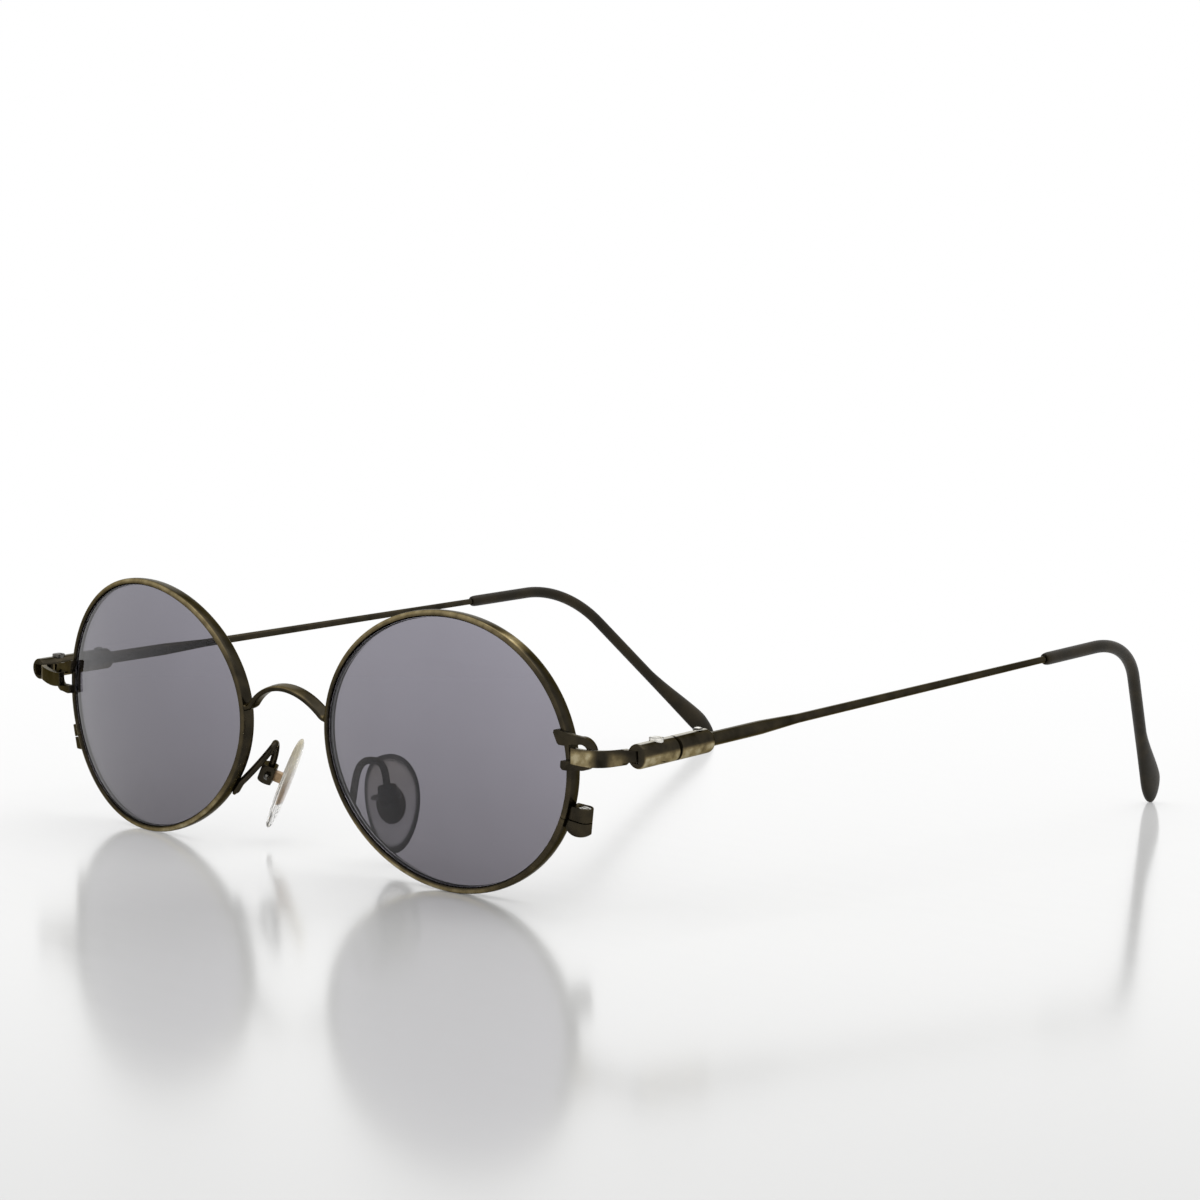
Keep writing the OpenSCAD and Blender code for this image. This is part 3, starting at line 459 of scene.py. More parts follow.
# dark colour, light colour and roughness of each turned metal
turnedColours = {"screwMetal": ((0.02, 0.017, 0.012), (0.88, 0.86, 0.8), 0.2),
                 "coreMetal": ((0.03, 0.024, 0.017), (0.42, 0.29, 0.17), 0.34),
                 "springSteel": ((0.3, 0.3, 0.29), (0.5, 0.5, 0.49), 0.3)}
turnedLook = {"stainScale": 1500, "stain": 0.3, "fineScale": 5000, "roughSpread": 0.14,
              "reliefScale": 7000, "relief": 0.002}


def turnedMetal(name):
    # bright turned screws and pins, a little stained, dark where the wear attribute says: dirt that has
    # stayed, or painted shade round a head's rounded edge
    look = turnedLook
    dark, light, rough = turnedColours[name]
    material, tree, shader = newMaterial(name)
    stain = scaled(tree, grain(tree, look["stainScale"], 4), 0.38, 0.66, 0, look["stain"])
    stain = maths(tree, "MAXIMUM", stain, attribute(tree, "wearDirtAndPaintedLight"))
    tree.links.new(blended(tree, stain, light, dark), shader.inputs["Base Color"])
    tree.links.new(scaled(tree, grain(tree, look["fineScale"]), 0.3, 0.7, rough,
                          rough + look["roughSpread"]), shader.inputs["Roughness"])
    shader.inputs["Metallic"].default_value = 1
    bumped(tree, shader, grain(tree, look["reliefScale"], 2), look["relief"])
    return material


# from, to: the heights in metres between which the tint changes from deeper to paler
lensLook = {"paler": (0.268, 0.258, 0.297), "deeper": (0.172, 0.163, 0.184), "from": 0.003, "to": 0.036,
            "mirror": (0.12, 0.12, 0.14), "edge": (0.012, 0.012, 0.013), "cloudScale": 60, "cloud": 0.05,
            "ior": 1.5}


def smokeGlass():
    # smoke grey all through, paler towards the top and paler or deeper where the painted light and shade
    # says so;
    # the bevel is dull and dark
    look = lensLook
    material, tree, shader = newMaterial("smokeGlass")
    place = tree.nodes.new("ShaderNodeTexCoord")
    apart = tree.nodes.new("ShaderNodeSeparateXYZ")
    tree.links.new(place.outputs["Object"], apart.inputs[0])
    height = scaled(tree, apart.outputs["Z"], look["from"], look["to"])
    uneven = scaled(tree, grain(tree, look["cloudScale"], 2), 0.35, 0.65, -look["cloud"], look["cloud"])
    tint = tree.nodes.new("ShaderNodeVectorMath")
    tint.operation = "SCALE"
    tree.links.new(blended(tree, maths(tree, "ADD", height, uneven), look["deeper"], look["paler"]),
                   tint.inputs[0])
    tree.links.new(attribute(tree, "shade"), tint.inputs["Scale"])
    brim = attribute(tree, "brim")
    tree.links.new(blended(tree, brim, tint.outputs[0], look["edge"]), shader.inputs["Base Color"])
    tree.links.new(maths(tree, "SUBTRACT", 1.0, brim), shader.inputs["Transmission Weight"])
    shader.inputs["Specular Tint"].default_value = (*look["mirror"], 1)
    shader.inputs["Roughness"].default_value = 0.0
    shader.inputs["IOR"].default_value = look["ior"]
    return material


# edge: the colour of the painted dark refraction along a pad's rim
padLook = {"middle": (0.97, 0.965, 0.95), "yellowed": (0.8, 0.71, 0.48), "edge": (0.035, 0.031, 0.025),
           "cloudScale": 500, "cloudLow": 0.6, "fineScale": 1400, "rough": (0.1, 0.2), "gloss": 0.3,
           "ior": 1.42, "reliefScale": 900, "relief": 0.01}


def clearPad():
    # soft clear plastic: age says where it is yellowed, clear how clear it is, brim where its rim is painted
    # dark as painted shade of refraction
    look = padLook
    material, tree, shader = newMaterial("clearPad")
    uneven = scaled(tree, grain(tree, look["cloudScale"], 3), 0.3, 0.7, look["cloudLow"], 1.0)
    cloud = maths(tree, "MULTIPLY", attribute(tree, "age"), uneven)
    inner = blended(tree, cloud, look["middle"], look["yellowed"])
    tree.links.new(blended(tree, attribute(tree, "brim"), inner, look["edge"]), shader.inputs["Base Color"])
    tree.links.new(scaled(tree, grain(tree, look["fineScale"], 3), 0.3, 0.7, *look["rough"]),
                   shader.inputs["Roughness"])
    tree.links.new(attribute(tree, "clear"), shader.inputs["Transmission Weight"])
    shader.inputs["Specular IOR Level"].default_value = look["gloss"]
    shader.inputs["IOR"].default_value = look["ior"]
    bumped(tree, shader, grain(tree, look["reliefScale"], 2), look["relief"])
    return material


tipLook = {"body": (0.015, 0.0118, 0.006), "mottle": (0.029, 0.0215, 0.0105), "mottleScale": 240,
           "fineScale": 3000, "rough": (0.34, 0.46), "gloss": 0.14, "reliefScale": 2600, "relief": 0.004}


def darkTip():
    # dark brown plastic, tumbled to a soft shine
    look = tipLook
    material, tree, shader = newMaterial("darkTip")
    mottle = scaled(tree, grain(tree, look["mottleScale"], 4), 0.42, 0.66)
    tree.links.new(blended(tree, mottle, look["body"], look["mottle"]), shader.inputs["Base Color"])
    tree.links.new(scaled(tree, grain(tree, look["fineScale"], 3), 0.3, 0.7, *look["rough"]),
                   shader.inputs["Roughness"])
    shader.inputs["Specular IOR Level"].default_value = look["gloss"]
    bumped(tree, shader, grain(tree, look["reliefScale"], 3), look["relief"])
    return material


finishes = {"antique_bronze": antiqueMetal("platedWire", 0.22, (0.2, 0.3)),
            "rubbed_brass": antiqueMetal("rubbedMetal", 0.38, (0.16, 0.28)),
            "screw_metal": turnedMetal("screwMetal"), "pad_core_metal": turnedMetal("coreMetal"),
            "spring_steel": turnedMetal("springSteel"), "smoke_lens": smokeGlass(),
            "clear_pad": clearPad(), "dark_tip": darkTip()}
print("finishes made:", len(finishes))


# rims

# face and corner: how worn the front face and its outer corner are at each turn round the rim, in
# degrees, partly wear and partly painted reflection. The spot on top is a painted brass highlight,
# crownHalf degrees either way of crownTurn; the last number is the strength of the painted top highlight
rimWearAndLightForm = {"turn": (0, 40, 60, 80, 110, 145, 153, 205, 225, 250, 285, 300, 360),
               "face": (0.0, 0.02, 0.2, 0.26, 0.34, 0.28, 0.0, 0.0, 0.06, 0.12, 0.1, 0.0, 0.0),
               "corner": (0.03, 0.1, 0.5, 0.62, 0.6, 0.42, 0.12, 0.12, 0.55, 0.75, 0.6, 0.12, 0.03),
               "paintedCrownHighlight": 0.75, "crownTurn": 56, "crownHalf": 9, "turnRound": 1.28, "outRound": 1.4,
               "topHighlight": 0.12}


def rimSection():
    # the wire's section, outward and back: lens groove, lips, flat front and back faces, rounded band
    f = rimForm
    depth, thick, lip = f["depth"] / 2, f["thick"], f["lip"]
    groove = np.array([[0, -f["grooveHalf"]], [f["groove"], -f["grooveFloor"]],
                       [f["groove"], f["grooveFloor"]], [0, f["grooveHalf"]]])
    a = np.radians(np.linspace(0, 90, 6))
    backLip = np.stack([lip - lip * np.cos(a), depth - lip + lip * np.sin(a)], -1)
    b = np.linspace(0, np.pi, 17)
    band = np.stack([0.5 * thick + 0.5 * thick * np.sin(b) ** f["bandSquare"], depth * np.cos(b)], -1)
    frontLip = backLip[::-1] * np.array([1, -1])
    return np.concatenate([groove, backLip, band, frontLip])


def rimWearAndReflection(p, n):
    # bronze on the front towards the top and a brass line on the front's outer corner at top and bottom,
    # each partly wear and partly painted reflection, and a painted highlight spot on top
    f = rimWearAndLightForm
    turn = np.degrees(np.arctan2(p[:, 2] * f["turnRound"], p[:, 0] - rimMiddle)) % 360
    r = unit(np.stack([p[:, 0] - rimMiddle, p[:, 2] * f["outRound"]], -1))
    outward = n[:, 0] * r[:, 0] + n[:, 2] * r[:, 1]
    face = smooth((-0.3 - n[:, 1]) / 0.5)
    corner = smooth((outward * 0.6 - n[:, 1] * 0.8 - 0.72) / 0.2)
    broad = np.interp(turn, f["turn"], f["face"])
    line = np.interp(turn, f["turn"], f["corner"])
    spot = smooth(1 - np.abs(turn - f["crownTurn"]) / f["crownHalf"])
    paintedCrownHighlight = f["paintedCrownHighlight"] * spot * smooth((outward - 0.7) / 0.25)
    return np.maximum(np.maximum(broad * face, line * corner), paintedCrownHighlight)


def makeRim(side, name):
    # the section carried round the oval from one side of the slit to the other
    t = closeAt + slitTurn + np.linspace(0, 1, rimForm["steps"]) * rimTurn
    section = rimSection()
    rings = rimPoint(t[:, None], section[None, :, 0], section[None, :, 1])
    piece = skin(name, rings, side)
    markWear(piece, side, rimWearAndReflection, rimWearAndLightForm["topHighlight"])
    return piece


for side, hand in hands:
    dress(makeRim(side, hand + "_rimWire"), hand + "_rim")
print("rims made")


# lenses

# in millimetres: rounding eases the edges and the bevel's point, whose shoulders reach bevelNear of it
lensMesh = {"columns": 240, "rings": 26, "hub": 0.02, "rounding": 0.03, "faceIn": 0.04, "brimIn": 0.04,
            "bevelGap": 0.08, "bevelNear": 0.97}
# painted light and shade on each lens: how clear the tint is made at the nose, middle and outside
lensPaintedLight = {1: (0.93, 1.0, 1.2), -1: (0.98, 0.8, 0.7)}


def makeLens(side, name):
    # rings from the middle of the front face out, over the bevelled edge and back to the middle
    f = lensMesh
    t = np.linspace(0, 2 * np.pi, f["columns"], endpoint=False)
    half = lensForm["thickness"] / 2
    inset, bevel, groove = -lensForm["inset"], rimForm["groove"] - f["bevelGap"], rimForm["grooveHalf"]
    shares = np.sin(np.linspace(f["hub"], 1, f["rings"]) * np.pi / 2)
    edge = [(inset, -half + f["rounding"]), (inset, -groove), (bevel * f["bevelNear"], -f["rounding"]),
            (bevel, 0.0), (bevel * f["bevelNear"], f["rounding"]), (inset, groove),
            (inset, half - f["rounding"])]
    rows = [(k, inset - f["faceIn"], -half) for k in shares]
    rows += [(1.0, dr, n) for dr, n in edge]
    rows += [(k, inset - f["faceIn"], half) for k in shares[::-1]]
    k, dr, n = (np.array(column)[:, None] for column in zip(*rows))
    qx, qz = ovalPoint(t[None, :], dr)
    # painted light and shade across the lens
    shade = np.interp(qx * k / lensForm["width"] * 2, (-1, 0, 1), lensPaintedLight[side])
    brim = np.broadcast_to((dr > inset) | (np.abs(n) < half - f["brimIn"]), shade.shape)
    return skin(name, inFront(onSphere(qx * k, qz * k, n)), side, {"shade": shade, "brim": brim})


for side, hand in hands:
    dress(makeLens(side, hand + "_lensGlass"), hand + "_lens")
print("lenses made")


# bridge

bridgeForm = {"up": 1.9, "slope": 43.0, "flareRadius": 1.6, "thick": 0.8, "width": 2.0, "lean": 12.0,
              "footIn": 0.3, "footFrom": 0.06, "footTo": 0.42, "solder": 0.3, "solderDeep": 0.06,
              "solderIn": 0.35, "solderOver": 0.7, "square": 0.55}


def makeBridge(name):
    # a flat ribbon with round edges carried over the arch: foot, flare, arch, flare, foot
    f = bridgeForm
    foot = rimPoint(np.array(angleAt(f["up"], -1)), rimForm["thick"], 0.0)
    half = foot[0] - f["footIn"]
    slope, flare = math.radians(f["slope"]), f["flareRadius"]
    archR = half / math.sin(slope) - flare
    crest = half / math.sin(slope) * (1 - math.cos(slope))
    a = np.linspace(-slope, slope, 90)
    arch = np.stack([archR * np.sin(a), crest - archR + archR * np.cos(a)], -1)
    b = np.linspace(slope, 0, 24)[1:]
    flareCurve = np.stack([half - flare * np.sin(b), flare - flare * np.cos(b)], -1)
    run = np.stack([half + np.linspace(f["footFrom"], f["footTo"], 8), np.zeros(8)], -1)
    rightHalf = np.concatenate([flareCurve, run])
    line = np.concatenate([(rightHalf * np.array([-1, 1]))[::-1], arch, rightHalf])
    along = unit(np.gradient(line, axis=0))
    up = np.stack([-along[:, 1], along[:, 0]], -1)
    q = np.linspace(0, 2 * np.pi, 40, endpoint=False)
    across = np.sign(np.cos(q)) * np.abs(np.cos(q)) ** f["square"] * f["thick"] / 2
    depth = np.sign(np.sin(q)) * np.abs(np.sin(q)) ** f["square"] * f["width"] / 2
    soldered = smooth((np.abs(line[:, 0]) - half + f["solderIn"]) / f["solderOver"])
    swell = 1 + f["solder"] * soldered
    deep = 1 + f["solderDeep"] * soldered
    x = line[:, None, 0] + up[:, None, 0] * across[None, :] * swell[:, None]
    z = line[:, None, 1] + up[:, None, 1] * across[None, :] * swell[:, None]
    y = np.broadcast_to(depth[None, :] * deep[:, None], x.shape)
    rings = turnX(np.stack([x, y, z], -1), f["lean"]) + np.array([0, foot[1], foot[2]])
    piece = skin(name, rings)
    # brass towards the front top, partly wear and partly painted highlight, and a faint painted highlight
    # along the top
    markWear(piece, 1, wearAndReflectionToward((0, -0.6, 0.8), 0.8, 1.0, 0.45), 0.1)
    return piece


dress(makeBridge("bridgeRibbon"), "bridge")
print("bridge made")


# temples, in the hinge's frame: y runs back along the temple

templeForm = {"length": 138.8, "straight": 92.8, "splay": 3.0, "rise": 3.84, "bendRadius": 16.4,
              "bendDrop": 55.8, "bendLean": 22.4, "barRadius": 0.93, "barEnd": 19.6, "barEase": 2.5,
              "barEndShare": 0.985, "thinFrom": 27.0, "thinRadius": 0.62, "wireRadius": 0.45,
              "wireStop": 9.0, "plugFrom": 7.12, "tubeEnd": 9.57, "plugRadius": 1.03}
hingeForm = {"out": 11.2, "back": 3.75, "lift": 0.6, "loopUp": 1.85}
tipForm = {"from": 80.8, "radius": 0.92, "paddleWidth": 4.0, "paddleThick": 1.9, "paddleLength": 17.0,
           "growShort": 4, "noseLength": 1.2, "noseRound": 0.2, "pointLength": 5.5, "boreRadius": 0.5,
           "boreDepth": 3.0, "boreEdge": 0.1}

loopAt = angleAt(hingeForm["loopUp"], 1)
loopPoint = rimPoint(np.array(loopAt), rimForm["thick"] / 2, -rimForm["depth"] / 2)
rimEnd = rimPoint(np.array(loopAt), rimForm["thick"] / 2, 0.0)
hinge = np.array([lensForm["noseGap"] / 2 + lensForm["width"] + hingeForm["out"],
                  rimEnd[1] + hingeForm["back"], loopPoint[2] + hingeForm["lift"]])


def fromHinge(p):
    # a point of the temple's frame in the front's frame
    return hinge + turnZ(turnX(p, templeForm["rise"]), templeForm["splay"])


def templePoint(s, across, out):
    # the point at length s: straight, round the bend, straight; out is away from the bend's centre
    r = templeForm["bendRadius"]
    bendLength = r * math.radians(templeForm["bendDrop"])
    a = np.clip((s - templeForm["straight"]) / r, 0, math.radians(templeForm["bendDrop"]))
    tail = np.maximum(0, s - templeForm["straight"] - bendLength)
    run = np.minimum(s, templeForm["straight"])
    p = np.stack([across + 0 * a, run + (r + out) * np.sin(a) + tail * np.cos(a),
                  (r + out) * np.cos(a) - r - tail * np.sin(a)], -1)
    return turnY(p, templeForm["bendLean"])


def makeTemple(side, name):
    # round wire: plug inside the tube, thick front part, taper, thin wire into the tip
    f = templeForm
    wireEnd = f["length"] - f["wireStop"]
    stops = np.array([f["plugFrom"], f["tubeEnd"] - 0.2, f["tubeEnd"] - 0.1, f["barEnd"] - f["barEase"],
                      f["barEnd"], f["thinFrom"], f["straight"], wireEnd])
    sizes = np.array([f["plugRadius"], f["plugRadius"], f["barRadius"], f["barRadius"],
                      f["barRadius"] * f["barEndShare"], f["thinRadius"], f["wireRadius"], f["wireRadius"]])
    s = np.unique(np.concatenate([stops, np.linspace(f["tubeEnd"], f["straight"], 160),
                                  np.linspace(f["straight"], wireEnd, 60)]))
    a = np.linspace(0, 2 * np.pi, 36, endpoint=False)
    r = np.interp(s, stops, sizes)[:, None]
    rings = fromHinge(templePoint(s[:, None], r * np.cos(a)[None, :], r * np.sin(a)[None, :]))
    piece = skin(name, rings, side)
    # brass on the lower side, partly wear and partly painted reflection of the table, and a painted
    # highlight along the top
    markWear(piece, side, wearAndReflectionToward((0.2, 0, -0.98), 0.72, 1.0, 0.6), 0.25)
    return piece


def makeTip(side, name):
    # an oval sleeve that widens into a paddle and closes in a round point; the wire goes into its mouth
    f = tipForm
    length = templeForm["length"]
    pointFrom = length - f["pointLength"]
    s = np.unique(np.concatenate([f["from"] + np.linspace(0, f["noseLength"], 9),
                                  np.linspace(f["from"] + f["noseLength"], pointFrom, 150),
                                  length - f["pointLength"] * (1 - np.sin(np.linspace(0, np.pi / 2, 30)))]))
    grow = np.clip((s - (length - f["paddleLength"])) / (f["paddleLength"] - f["growShort"]), 0, 1)
    grow = 0.5 * grow + 0.5 * smooth(grow)
    k = np.maximum(0, (s - pointFrom) / f["pointLength"])
    close = np.sqrt(np.maximum(0.0004, 1 - k * k))
    mouth = np.clip(1 - (s - f["from"]) / f["noseLength"], 0, 1)
    front = 1 - f["noseRound"] * (1 - np.sqrt(np.maximum(0, 1 - mouth ** 2)))
    wide = (2 * f["radius"] * (1 - grow) + f["paddleWidth"] * grow) * close * front / 2
    thick = (2 * f["radius"] * (1 - grow) + f["paddleThick"] * grow) * np.sqrt(close) * front / 2
    lift = (f["paddleWidth"] / 2 - f["radius"]) * grow * (0.2 + 0.6 * close)
    a = np.linspace(0, 2 * np.pi, 44, endpoint=False)
    bore = f["boreRadius"]
    boreS = np.array([f["from"] + f["boreDepth"], f["from"] + f["boreEdge"], f["from"]])
    boreRings = templePoint(boreS[:, None], bore * np.cos(a)[None, :], bore * np.sin(a)[None, :])
    outside = templePoint(s[:, None], thick[:, None] * np.cos(a)[None, :],
                          lift[:, None] + wide[:, None] * np.sin(a)[None, :])
    return skin(name, fromHinge(np.concatenate([boreRings, outside])), side)


for side, hand in hands:
    dress(makeTemple(side, hand + "_templeWire"), hand + "_temple")
    dress(makeTip(side, hand + "_tipSleeve"), hand + "_temple_tip")
print("temples and tips made")


# nose pads and their arms

padForm = {"height": 14.0, "width": 7.4, "thick": 1.4, "out": 2.4, "back": 10.9, "down": 10.1, "turn": 45.0,
           "tilt": 22.0, "roll": 10.0, "boxBack": 2.75, "boxUp": 0.5, "boxHeight": 2.7, "frontShare": 0.46,
           "rearShare": 0.54, "frontSquare": 0.75, "topWider": 0.16, "topRear": 0.35, "stepsThick": 1.12}
# each ring's share of the outline, and its height where stepsThick stands for the pad's thickness
padSteps = ((0.0, 0.56), (0.12, 0.555), (0.3, 0.54), (0.5, 0.51), (0.68, 0.47), (0.8, 0.42), (0.88, 0.35),
            (0.94, 0.25), (0.98, 0.12), (1.0, -0.02), (0.985, -0.18), (0.95, -0.32), (0.9, -0.42),
            (0.82, -0.48), (0.7, -0.5), (0.4, -0.5), (0.0, -0.5))
# each side's pad: how dark its rim is painted, as painted shade of refraction, how yellowed and how clear it
# is, and how milky towards its top
padSide = {1: {"brim": 1, "age": 0.5, "clear": 0.62, "milky": 0.0},
           -1: {"brim": 0, "age": 1.0, "clear": 0.92, "milky": 0.5}}
padMiddle = np.array([lensForm["noseGap"] / 2 + padForm["out"], padForm["back"], -padForm["down"]])


def fromPad(p):
    # the pad's frame: y points to the nose, z up the pad, x to its rear edge
    return padMiddle + turnZ(turnX(turnY(p, -padForm["roll"]), -padForm["tilt"]), padForm["turn"])


def makePad(side, name):
    # a D-shaped outline, shrunk and lifted ring by ring over a crowned face, a round edge and a flat back
    f, own = padForm, padSide[side]
    t = np.linspace(0, 2 * np.pi, 120, endpoint=False)
    shares = np.array([max(share, 0.01) for share, _ in padSteps])[:, None]
    lift = np.array([height for _, height in padSteps])[:, None] * f["thick"] / f["stepsThick"]
    half = np.where(np.cos(t) < 0, f["width"] * f["frontShare"], f["width"] * f["rearShare"])
    square = np.where(np.cos(t) < 0, f["frontSquare"], 1.0)
    x = np.sign(np.cos(t)) * np.abs(np.cos(t)) ** square * half * (1 + f["topWider"] * np.sin(t))
    x = x + f["topRear"] * np.sin(t)
    z = f["height"] / 2 * np.sin(t)
    local = np.stack(np.broadcast_arrays(x[None, :] * shares, lift, z[None, :] * shares), -1)
    up = local[..., 2] / f["height"]
    # painted shade of refraction along the pad's rim
    brim = own["brim"] * smooth((np.broadcast_to(shares, up.shape) - 0.8) / 0.12)
    age = own["age"] * smooth(0.35 + up)
    clear = own["clear"] - own["milky"] * smooth((up + 0.05) / 0.3)
    return skin(name, fromPad(local), side, {"brim": brim, "age": age, "clear": clear})


# footOut, footBack: where the wire lies on the rim's back, in shares of the rim's thickness and depth.
# footRun, leave: degrees round the rim. bow: the bow's top, seen from the box; over: which way it runs
armForm = {"radius": 0.5, "low": 9.0, "braze": 0.15, "footOut": 0.86, "footBack": 0.4, "seat": 0.7,
           "footRun": 7, "leave": 5, "rise": 2, "behind": (0.2, 1.4, 0.0), "bow": (-2.5, -1.2, 3.5),
           "over": (1.1, 1.0, 0.15), "drop": 2.4, "point": 0.55, "pointLength": 0.9, "solder": 0.1,
           "solderLength": 3.2, "sides": 28, "startAt": (0.35, 0.9, -0.25)}


def makeArm(side, name):
    # wire brazed to the rim's back, up round a bow and down into the pad box
    f = armForm
    armAt = angleAt(-f["low"], -1)
    clearOf = (f["radius"] - f["braze"]) * f["seat"]
    footOut = rimForm["thick"] * f["footOut"] + clearOf
    footBack = rimForm["depth"] * f["footBack"] + clearOf
    foot = rimPoint(np.array(armAt), footOut, footBack)
    low = rimPoint(np.array(armAt + math.radians(f["footRun"])), footOut, footBack)
    leave = unit(rimPoint(np.array(armAt - math.radians(f["leave"])), footOut, footBack) - foot)
    boxTop = padForm["boxUp"] + padForm["boxHeight"] / 2
    end = fromPad(np.array([0, -padForm["boxBack"], boxTop - f["braze"]]))
    into = fromPad(np.array([0.0, 0, 1])) - fromPad(np.zeros(3))
    top = end + np.array(f["bow"])
    over = np.array(f["over"])
    k = np.linspace(0, 1, 60)
    path = np.concatenate([low + (foot - low) * np.linspace(0, 1, 12)[:-1, None],
                           bezier(foot, foot + leave * f["rise"] + np.array(f["behind"]),
                                  top - over * 1.3, top, k)[:-1],
                           bezier(top, top + over * 1.5, end + into * f["drop"], end, k)])
    lengths = np.concatenate([[0], np.cumsum(np.linalg.norm(np.diff(path, axis=0), axis=1))])
    pointed = 1 - f["point"] * (1 - smooth(lengths / f["pointLength"]))
    soldered = 1 + f["solder"] * smooth(1 - lengths / f["solderLength"])
    radii = f["radius"] * (pointed * soldered)
    piece = skin(name, sweptRings(path, radii, f["sides"], np.array(f["startAt"])), side)
    # a little brass towards the front top, partly wear and partly painted highlight
    markWear(piece, side, wearAndReflectionToward((0.2, -0.8, 0.5), 0.3, 1.4, 0.1))
    return piece


for side, hand in hands:
    dress(makePad(side, hand + "_padBody"), hand + "_nose_pad")
    dress(makeArm(side, hand + "_padWire"), hand + "_pad_arm")
print("nose pads and arms made")


# small metal parts: merged copies of the solids, with their edges eased by these widths

easing = {"end_loop": 0.16, "end_strap": 0.16, "hinge_barrel": 0.05, "spring_tube": 0.05,
          "hinge_screw": 0.08, "tube_pin": 0.04, "closing_block_upper": 0.1, "closing_block_lower": 0.1,
          "closing_screw": 0.05, "pad_box": 0.14, "pad_screw": 0.05, "pad_core": 0.08, "plunger": 0.04,
          "hinge_spring": 0.0}
# where the strap starts and how far it runs, outward from the nose
strapForm = {"start": 57.6, "run": 8.6}
# split: where the two tubes meet, behind the hinge screw. travel: how far the rear one is drawn back.
# farSide: the share of the left hinge's wear, painted reflection and painted shade that the right one has
tubeForm = {"split": 2.96, "travel": 1.0, "farSide": 0.4}
tubeAxis = fromHinge(np.array([0.0, 1, 0])) - hinge


def strapWearAndReflection(p, n):
    # brass low on the front of its inner end, a dark stretch, then half rubbed low down by the tube;
    # the brass is partly wear and partly painted reflection of the table
    u = (p[:, 0] - strapForm["start"]) / strapForm["run"]
    front = smooth((0.1 - n[:, 1]) / 0.5)
    low = smooth((hinge[2] + 0.25 - p[:, 2]) / 0.8)
    inner = smooth((0.5 - u) / 0.16) * (0.1 + 0.52 * low)
    outer = 0.4 * smooth((u - 0.62) / 0.12) * smooth((1.0 - u) / 0.15) * low
    return front * (inner + outer)


def bendWear(p, n):
    # on the other side only the bend is rubbed
    u = (p[:, 0] - strapForm["start"]) / strapForm["run"]
    return 0.6 * smooth((u - 0.72) / 0.2) * smooth((0.4 - n[:, 1]) / 0.5)


def tubeWearReflectionAndShade(p, n):
    # brass on the lower half, partly wear and partly painted reflection of the table; end faces and slot
    # left dark as painted shade; and a dark line where the two tubes meet
    lower = smooth((n @ np.array([0.2, 0.0, -0.9]) - 0.02) / 0.3)
    ends = smooth((0.75 - np.abs(n @ tubeAxis)) / 0.3)
    seam = smooth((0.24 - np.abs((p - hinge) @ tubeAxis - tubeForm["split"])) / 0.1)
    return 0.66 * lower * ends - 1.0 * seam


def fadedTubeWearReflectionAndShade(p, n):
    # the right hinge has its wear, painted reflection and painted shade in the same places, but less
    return tubeForm["farSide"] * tubeWearReflectionAndShade(p, n)


def screwEdgeShade(p, n):
    # painted shade: darker round the rounded edge of the head only
    return smooth((n[:, 2] - 0.15) / 0.2) * smooth((0.93 - n[:, 2]) / 0.1)


def squeezed(piece, side):
    # the spring gets its own copy of its mesh; how far each vertex reaches along the tube is worked out but
    # not used
    mirror = np.array([side, 1, 1])
    reach = ((vertexRows(piece.data, "co") * 1000 - shift) * mirror) @ tubeAxis
    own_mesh(piece)


# each part's wear, which is partly painted reflection and shade, and the strength of its painted top
# highlight;
# a part that isn't named is lightly worn, which is partly painted reflection
slightWearAndReflection = wearAndReflectionToward((0, -0.5, -0.5), 0.6, 1.4, 0.1)
cleanAll, stainedAll, dirtyAll = evenly(0.0), evenly(0.45), evenly(0.9)
leftWear = {"hinge_barrel": (tubeWearReflectionAndShade, 1.0), "spring_tube": (tubeWearReflectionAndShade, 1.0), "hinge_screw": (screwEdgeShade, 0.0),
            "end_loop": (slightWearAndReflection, 0.15), "end_strap": (strapWearAndReflection, 0.7), "tube_pin": (screwEdgeShade, 0.0),
            "closing_screw": (stainedAll, 0.0), "pad_screw": (dirtyAll, 0.0), "pad_core": (dirtyAll, 0.0)}
rightWear = {**leftWear, "hinge_barrel": (fadedTubeWearReflectionAndShade, 0.35), "spring_tube": (fadedTubeWearReflectionAndShade, 0.35),
             "hinge_screw": (dirtyAll, 0.0), "end_strap": (bendWear, 0.25), "tube_pin": (dirtyAll, 0.0),
             "closing_screw": (dirtyAll, 0.0), "pad_core": (cleanAll, 0.0)}
wearOf = {1: leftWear, -1: rightWear}

# planes that cut a part finely enough to hold its wear and painted reflection: direction, first and last
# place, spacing
hingeAlong = float(hinge @ tubeAxis)
cutsOf = {"hinge_barrel": ((tubeAxis, hingeAlong - 2, hingeAlong + 3.2, 0.15),),
          "spring_tube": ((tubeAxis, hingeAlong + 2.7, hingeAlong + 10, 0.15),),
          "end_strap": (((1, 0, 0), 56, 68, 0.3), ((0, 1, 0), -1, 10, 0.3), ((0, 0, 1), -1, 6, 0.3))}

for side, hand in hands:
    for part, width in easing.items():
        node = hand + "_" + part
        cuts = [((side * d[0], d[1], d[2]), a, b, step) for d, a, b, step in cutsOf.get(part, ())]
        piece = refined(node, width, cuts)
        wearAndLightOf, paintedTopHighlight = wearOf[side].get(part, (slightWearAndReflection, 0.0))
        markWear(piece, side, wearAndLightOf, paintedTopHighlight)
        dress(piece, node)
        if part == "hinge_spring":
            squeezed(piece, side)
print("small metal parts finished")


# stage

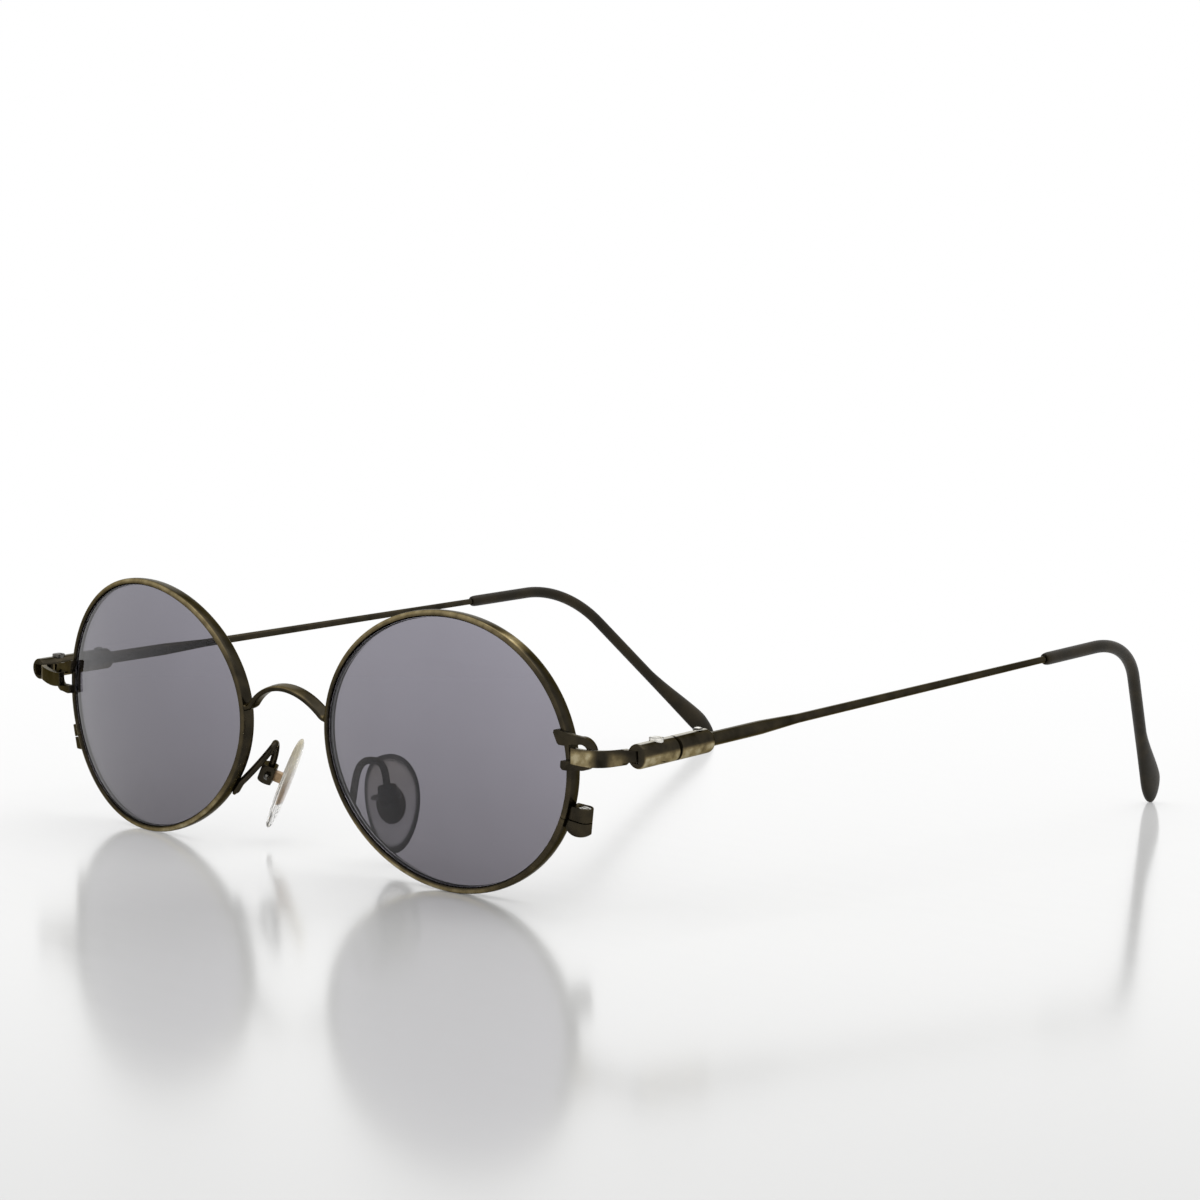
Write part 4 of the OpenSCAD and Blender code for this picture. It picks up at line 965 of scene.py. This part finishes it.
# away: from the photograph's viewpoint through the glasses, fixed on the table. The table's colour goes
# from near to far, darker near as painted shade for light falling off, and fades to white, between these
# places along it, in metres
stageForm = {"floorHalf": 12.0, "paintedFalloffColour": (0.69, 0.69, 0.685), "farColour": (0.875, 0.875, 0.868),
             "floorRough": 0.135, "roughSpread": 0.02, "floorGloss": 0.7, "lacquer": 0.42,
             "drawnScale": 90, "drawn": (0.25, 3, 1), "away": (-0.734, 0.679, 0.0),
             "nearFrom": -0.25, "nearTo": -0.09, "fadeFrom": -0.08, "fadeTo": 0.18}


def whatLooks(tree):
    # 1 for what sees a thing straight, mirrored or through glass, 0 for light that it only sends on
    path = tree.nodes.new("ShaderNodeLightPath")
    seen = maths(tree, "MAXIMUM", path.outputs["Is Camera Ray"], path.outputs["Is Glossy Ray"])
    return maths(tree, "MAXIMUM", seen, path.outputs["Is Transmission Ray"])


def makeFloor():
    # a white lacquered table with a faint drawn grain and painted shade on its near side, which fades to
    # white for what looks at it
    f = stageForm
    h = f["floorHalf"]
    mesh = bpy.data.meshes.new("table")
    mesh.from_pydata([(-h, -h, 0), (h, -h, 0), (h, h, 0), (-h, h, 0)], [], [(0, 1, 2, 3)])
    table = bpy.data.objects.new("table", mesh)
    bpy.context.scene.collection.objects.link(table)
    material, tree, shader = newMaterial("tableLacquer")
    shader.inputs["Specular IOR Level"].default_value = f["floorGloss"]
    shader.inputs["Coat Weight"].default_value = f["lacquer"]
    shader.inputs["Coat Roughness"].default_value = f["floorRough"]
    tree.links.new(scaled(tree, grain(tree, f["drawnScale"], 3, f["drawn"]), 0.3, 0.7, f["floorRough"],
                          f["floorRough"] + f["roughSpread"]), shader.inputs["Roughness"])
    place = tree.nodes.new("ShaderNodeTexCoord")
    far = tree.nodes.new("ShaderNodeVectorMath")
    far.operation = "DOT_PRODUCT"
    far.inputs[1].default_value = f["away"]
    tree.links.new(place.outputs["Object"], far.inputs[0])
    # painted shade: the table's colour is darker towards the near side, standing in for light falling off
    near = scaled(tree, far.outputs["Value"], f["nearFrom"], f["nearTo"])
    tree.links.new(blended(tree, near, f["paintedFalloffColour"], f["farColour"]), shader.inputs["Base Color"])
    white = tree.nodes.new("ShaderNodeEmission")
    white.inputs["Strength"].default_value = 1
    mix = tree.nodes.new("ShaderNodeMixShader")
    share = scaled(tree, far.outputs["Value"], f["fadeFrom"], f["fadeTo"])
    tree.links.new(maths(tree, "MULTIPLY", share, whatLooks(tree)), mix.inputs[0])
    tree.links.new(shader.outputs[0], mix.inputs[1])
    tree.links.new(white.outputs[0], mix.inputs[2])
    tree.links.new(mix.outputs[0], tree.nodes["Material Output"].inputs[0])
    mesh.materials.append(material)
    return table


makeFloor()

lampForm = {"overheadSize": 0.9, "overheadPower": 3.4, "overheadPlace": (0.1, 0.15, 0.95),
            "skyForLight": 0.72}


def makeLight():
    # white surroundings for what is seen straight, mirrored or through glass, a soft sky and one big lamp
    world = bpy.data.worlds.new("studio")
    bpy.context.scene.world = world
    world.use_nodes = True
    tree = world.node_tree
    tree.nodes.clear()
    back = tree.nodes.new("ShaderNodeBackground")
    back.inputs["Color"].default_value = (1, 1, 1, 1)
    tree.links.new(scaled(tree, whatLooks(tree), 0, 1, lampForm["skyForLight"], 1.0),
                   back.inputs["Strength"])
    out = tree.nodes.new("ShaderNodeOutputWorld")
    tree.links.new(back.outputs[0], out.inputs[0])
    lamp = bpy.data.lights.new("overhead", "AREA")
    lamp.size = lampForm["overheadSize"]
    lamp.energy = lampForm["overheadPower"]
    holder = bpy.data.objects.new("overhead", lamp)
    holder.location = lampForm["overheadPlace"]
    holder.visible_camera = False
    bpy.context.scene.collection.objects.link(holder)


makeLight()

cameraForm = {"place": (0.352574, -0.265074, 0.075565), "azimuth": 47.244, "elevation": 5.1,
              "focalPixels": 3202.244, "imagePixels": 1200, "filmWidth": 36.0, "seesFrom": 0.01,
              "seesTo": 20}


def makeCamera():
    # the photograph's viewpoint; it looks back along the direction from the glasses to itself
    f = cameraForm
    a, e = math.radians(f["azimuth"]), math.radians(f["elevation"])
    back = Vector((math.sin(a) * math.cos(e), -math.cos(a) * math.cos(e), math.sin(e)))
    right = Vector((math.cos(a), math.sin(a), 0))
    up = back.cross(right)
    data = bpy.data.cameras.new("camera")
    data.sensor_width = f["filmWidth"]
    data.sensor_fit = "HORIZONTAL"
    data.lens = f["focalPixels"] / f["imagePixels"] * f["filmWidth"]
    data.clip_start = f["seesFrom"]
    data.clip_end = f["seesTo"]
    camera = bpy.data.objects.new("camera", data)
    turn = Matrix((right, up, back)).transposed().to_4x4()
    place = Vector(f["place"]) + Vector((0, shift[1] / 1000, 0))
    camera.matrix_world = Matrix.Translation(place) @ turn
    bpy.context.scene.collection.objects.link(camera)
    bpy.context.scene.camera = camera


makeCamera()
bpy.context.scene.view_settings.view_transform = "Standard"
print("stage, light and camera set")
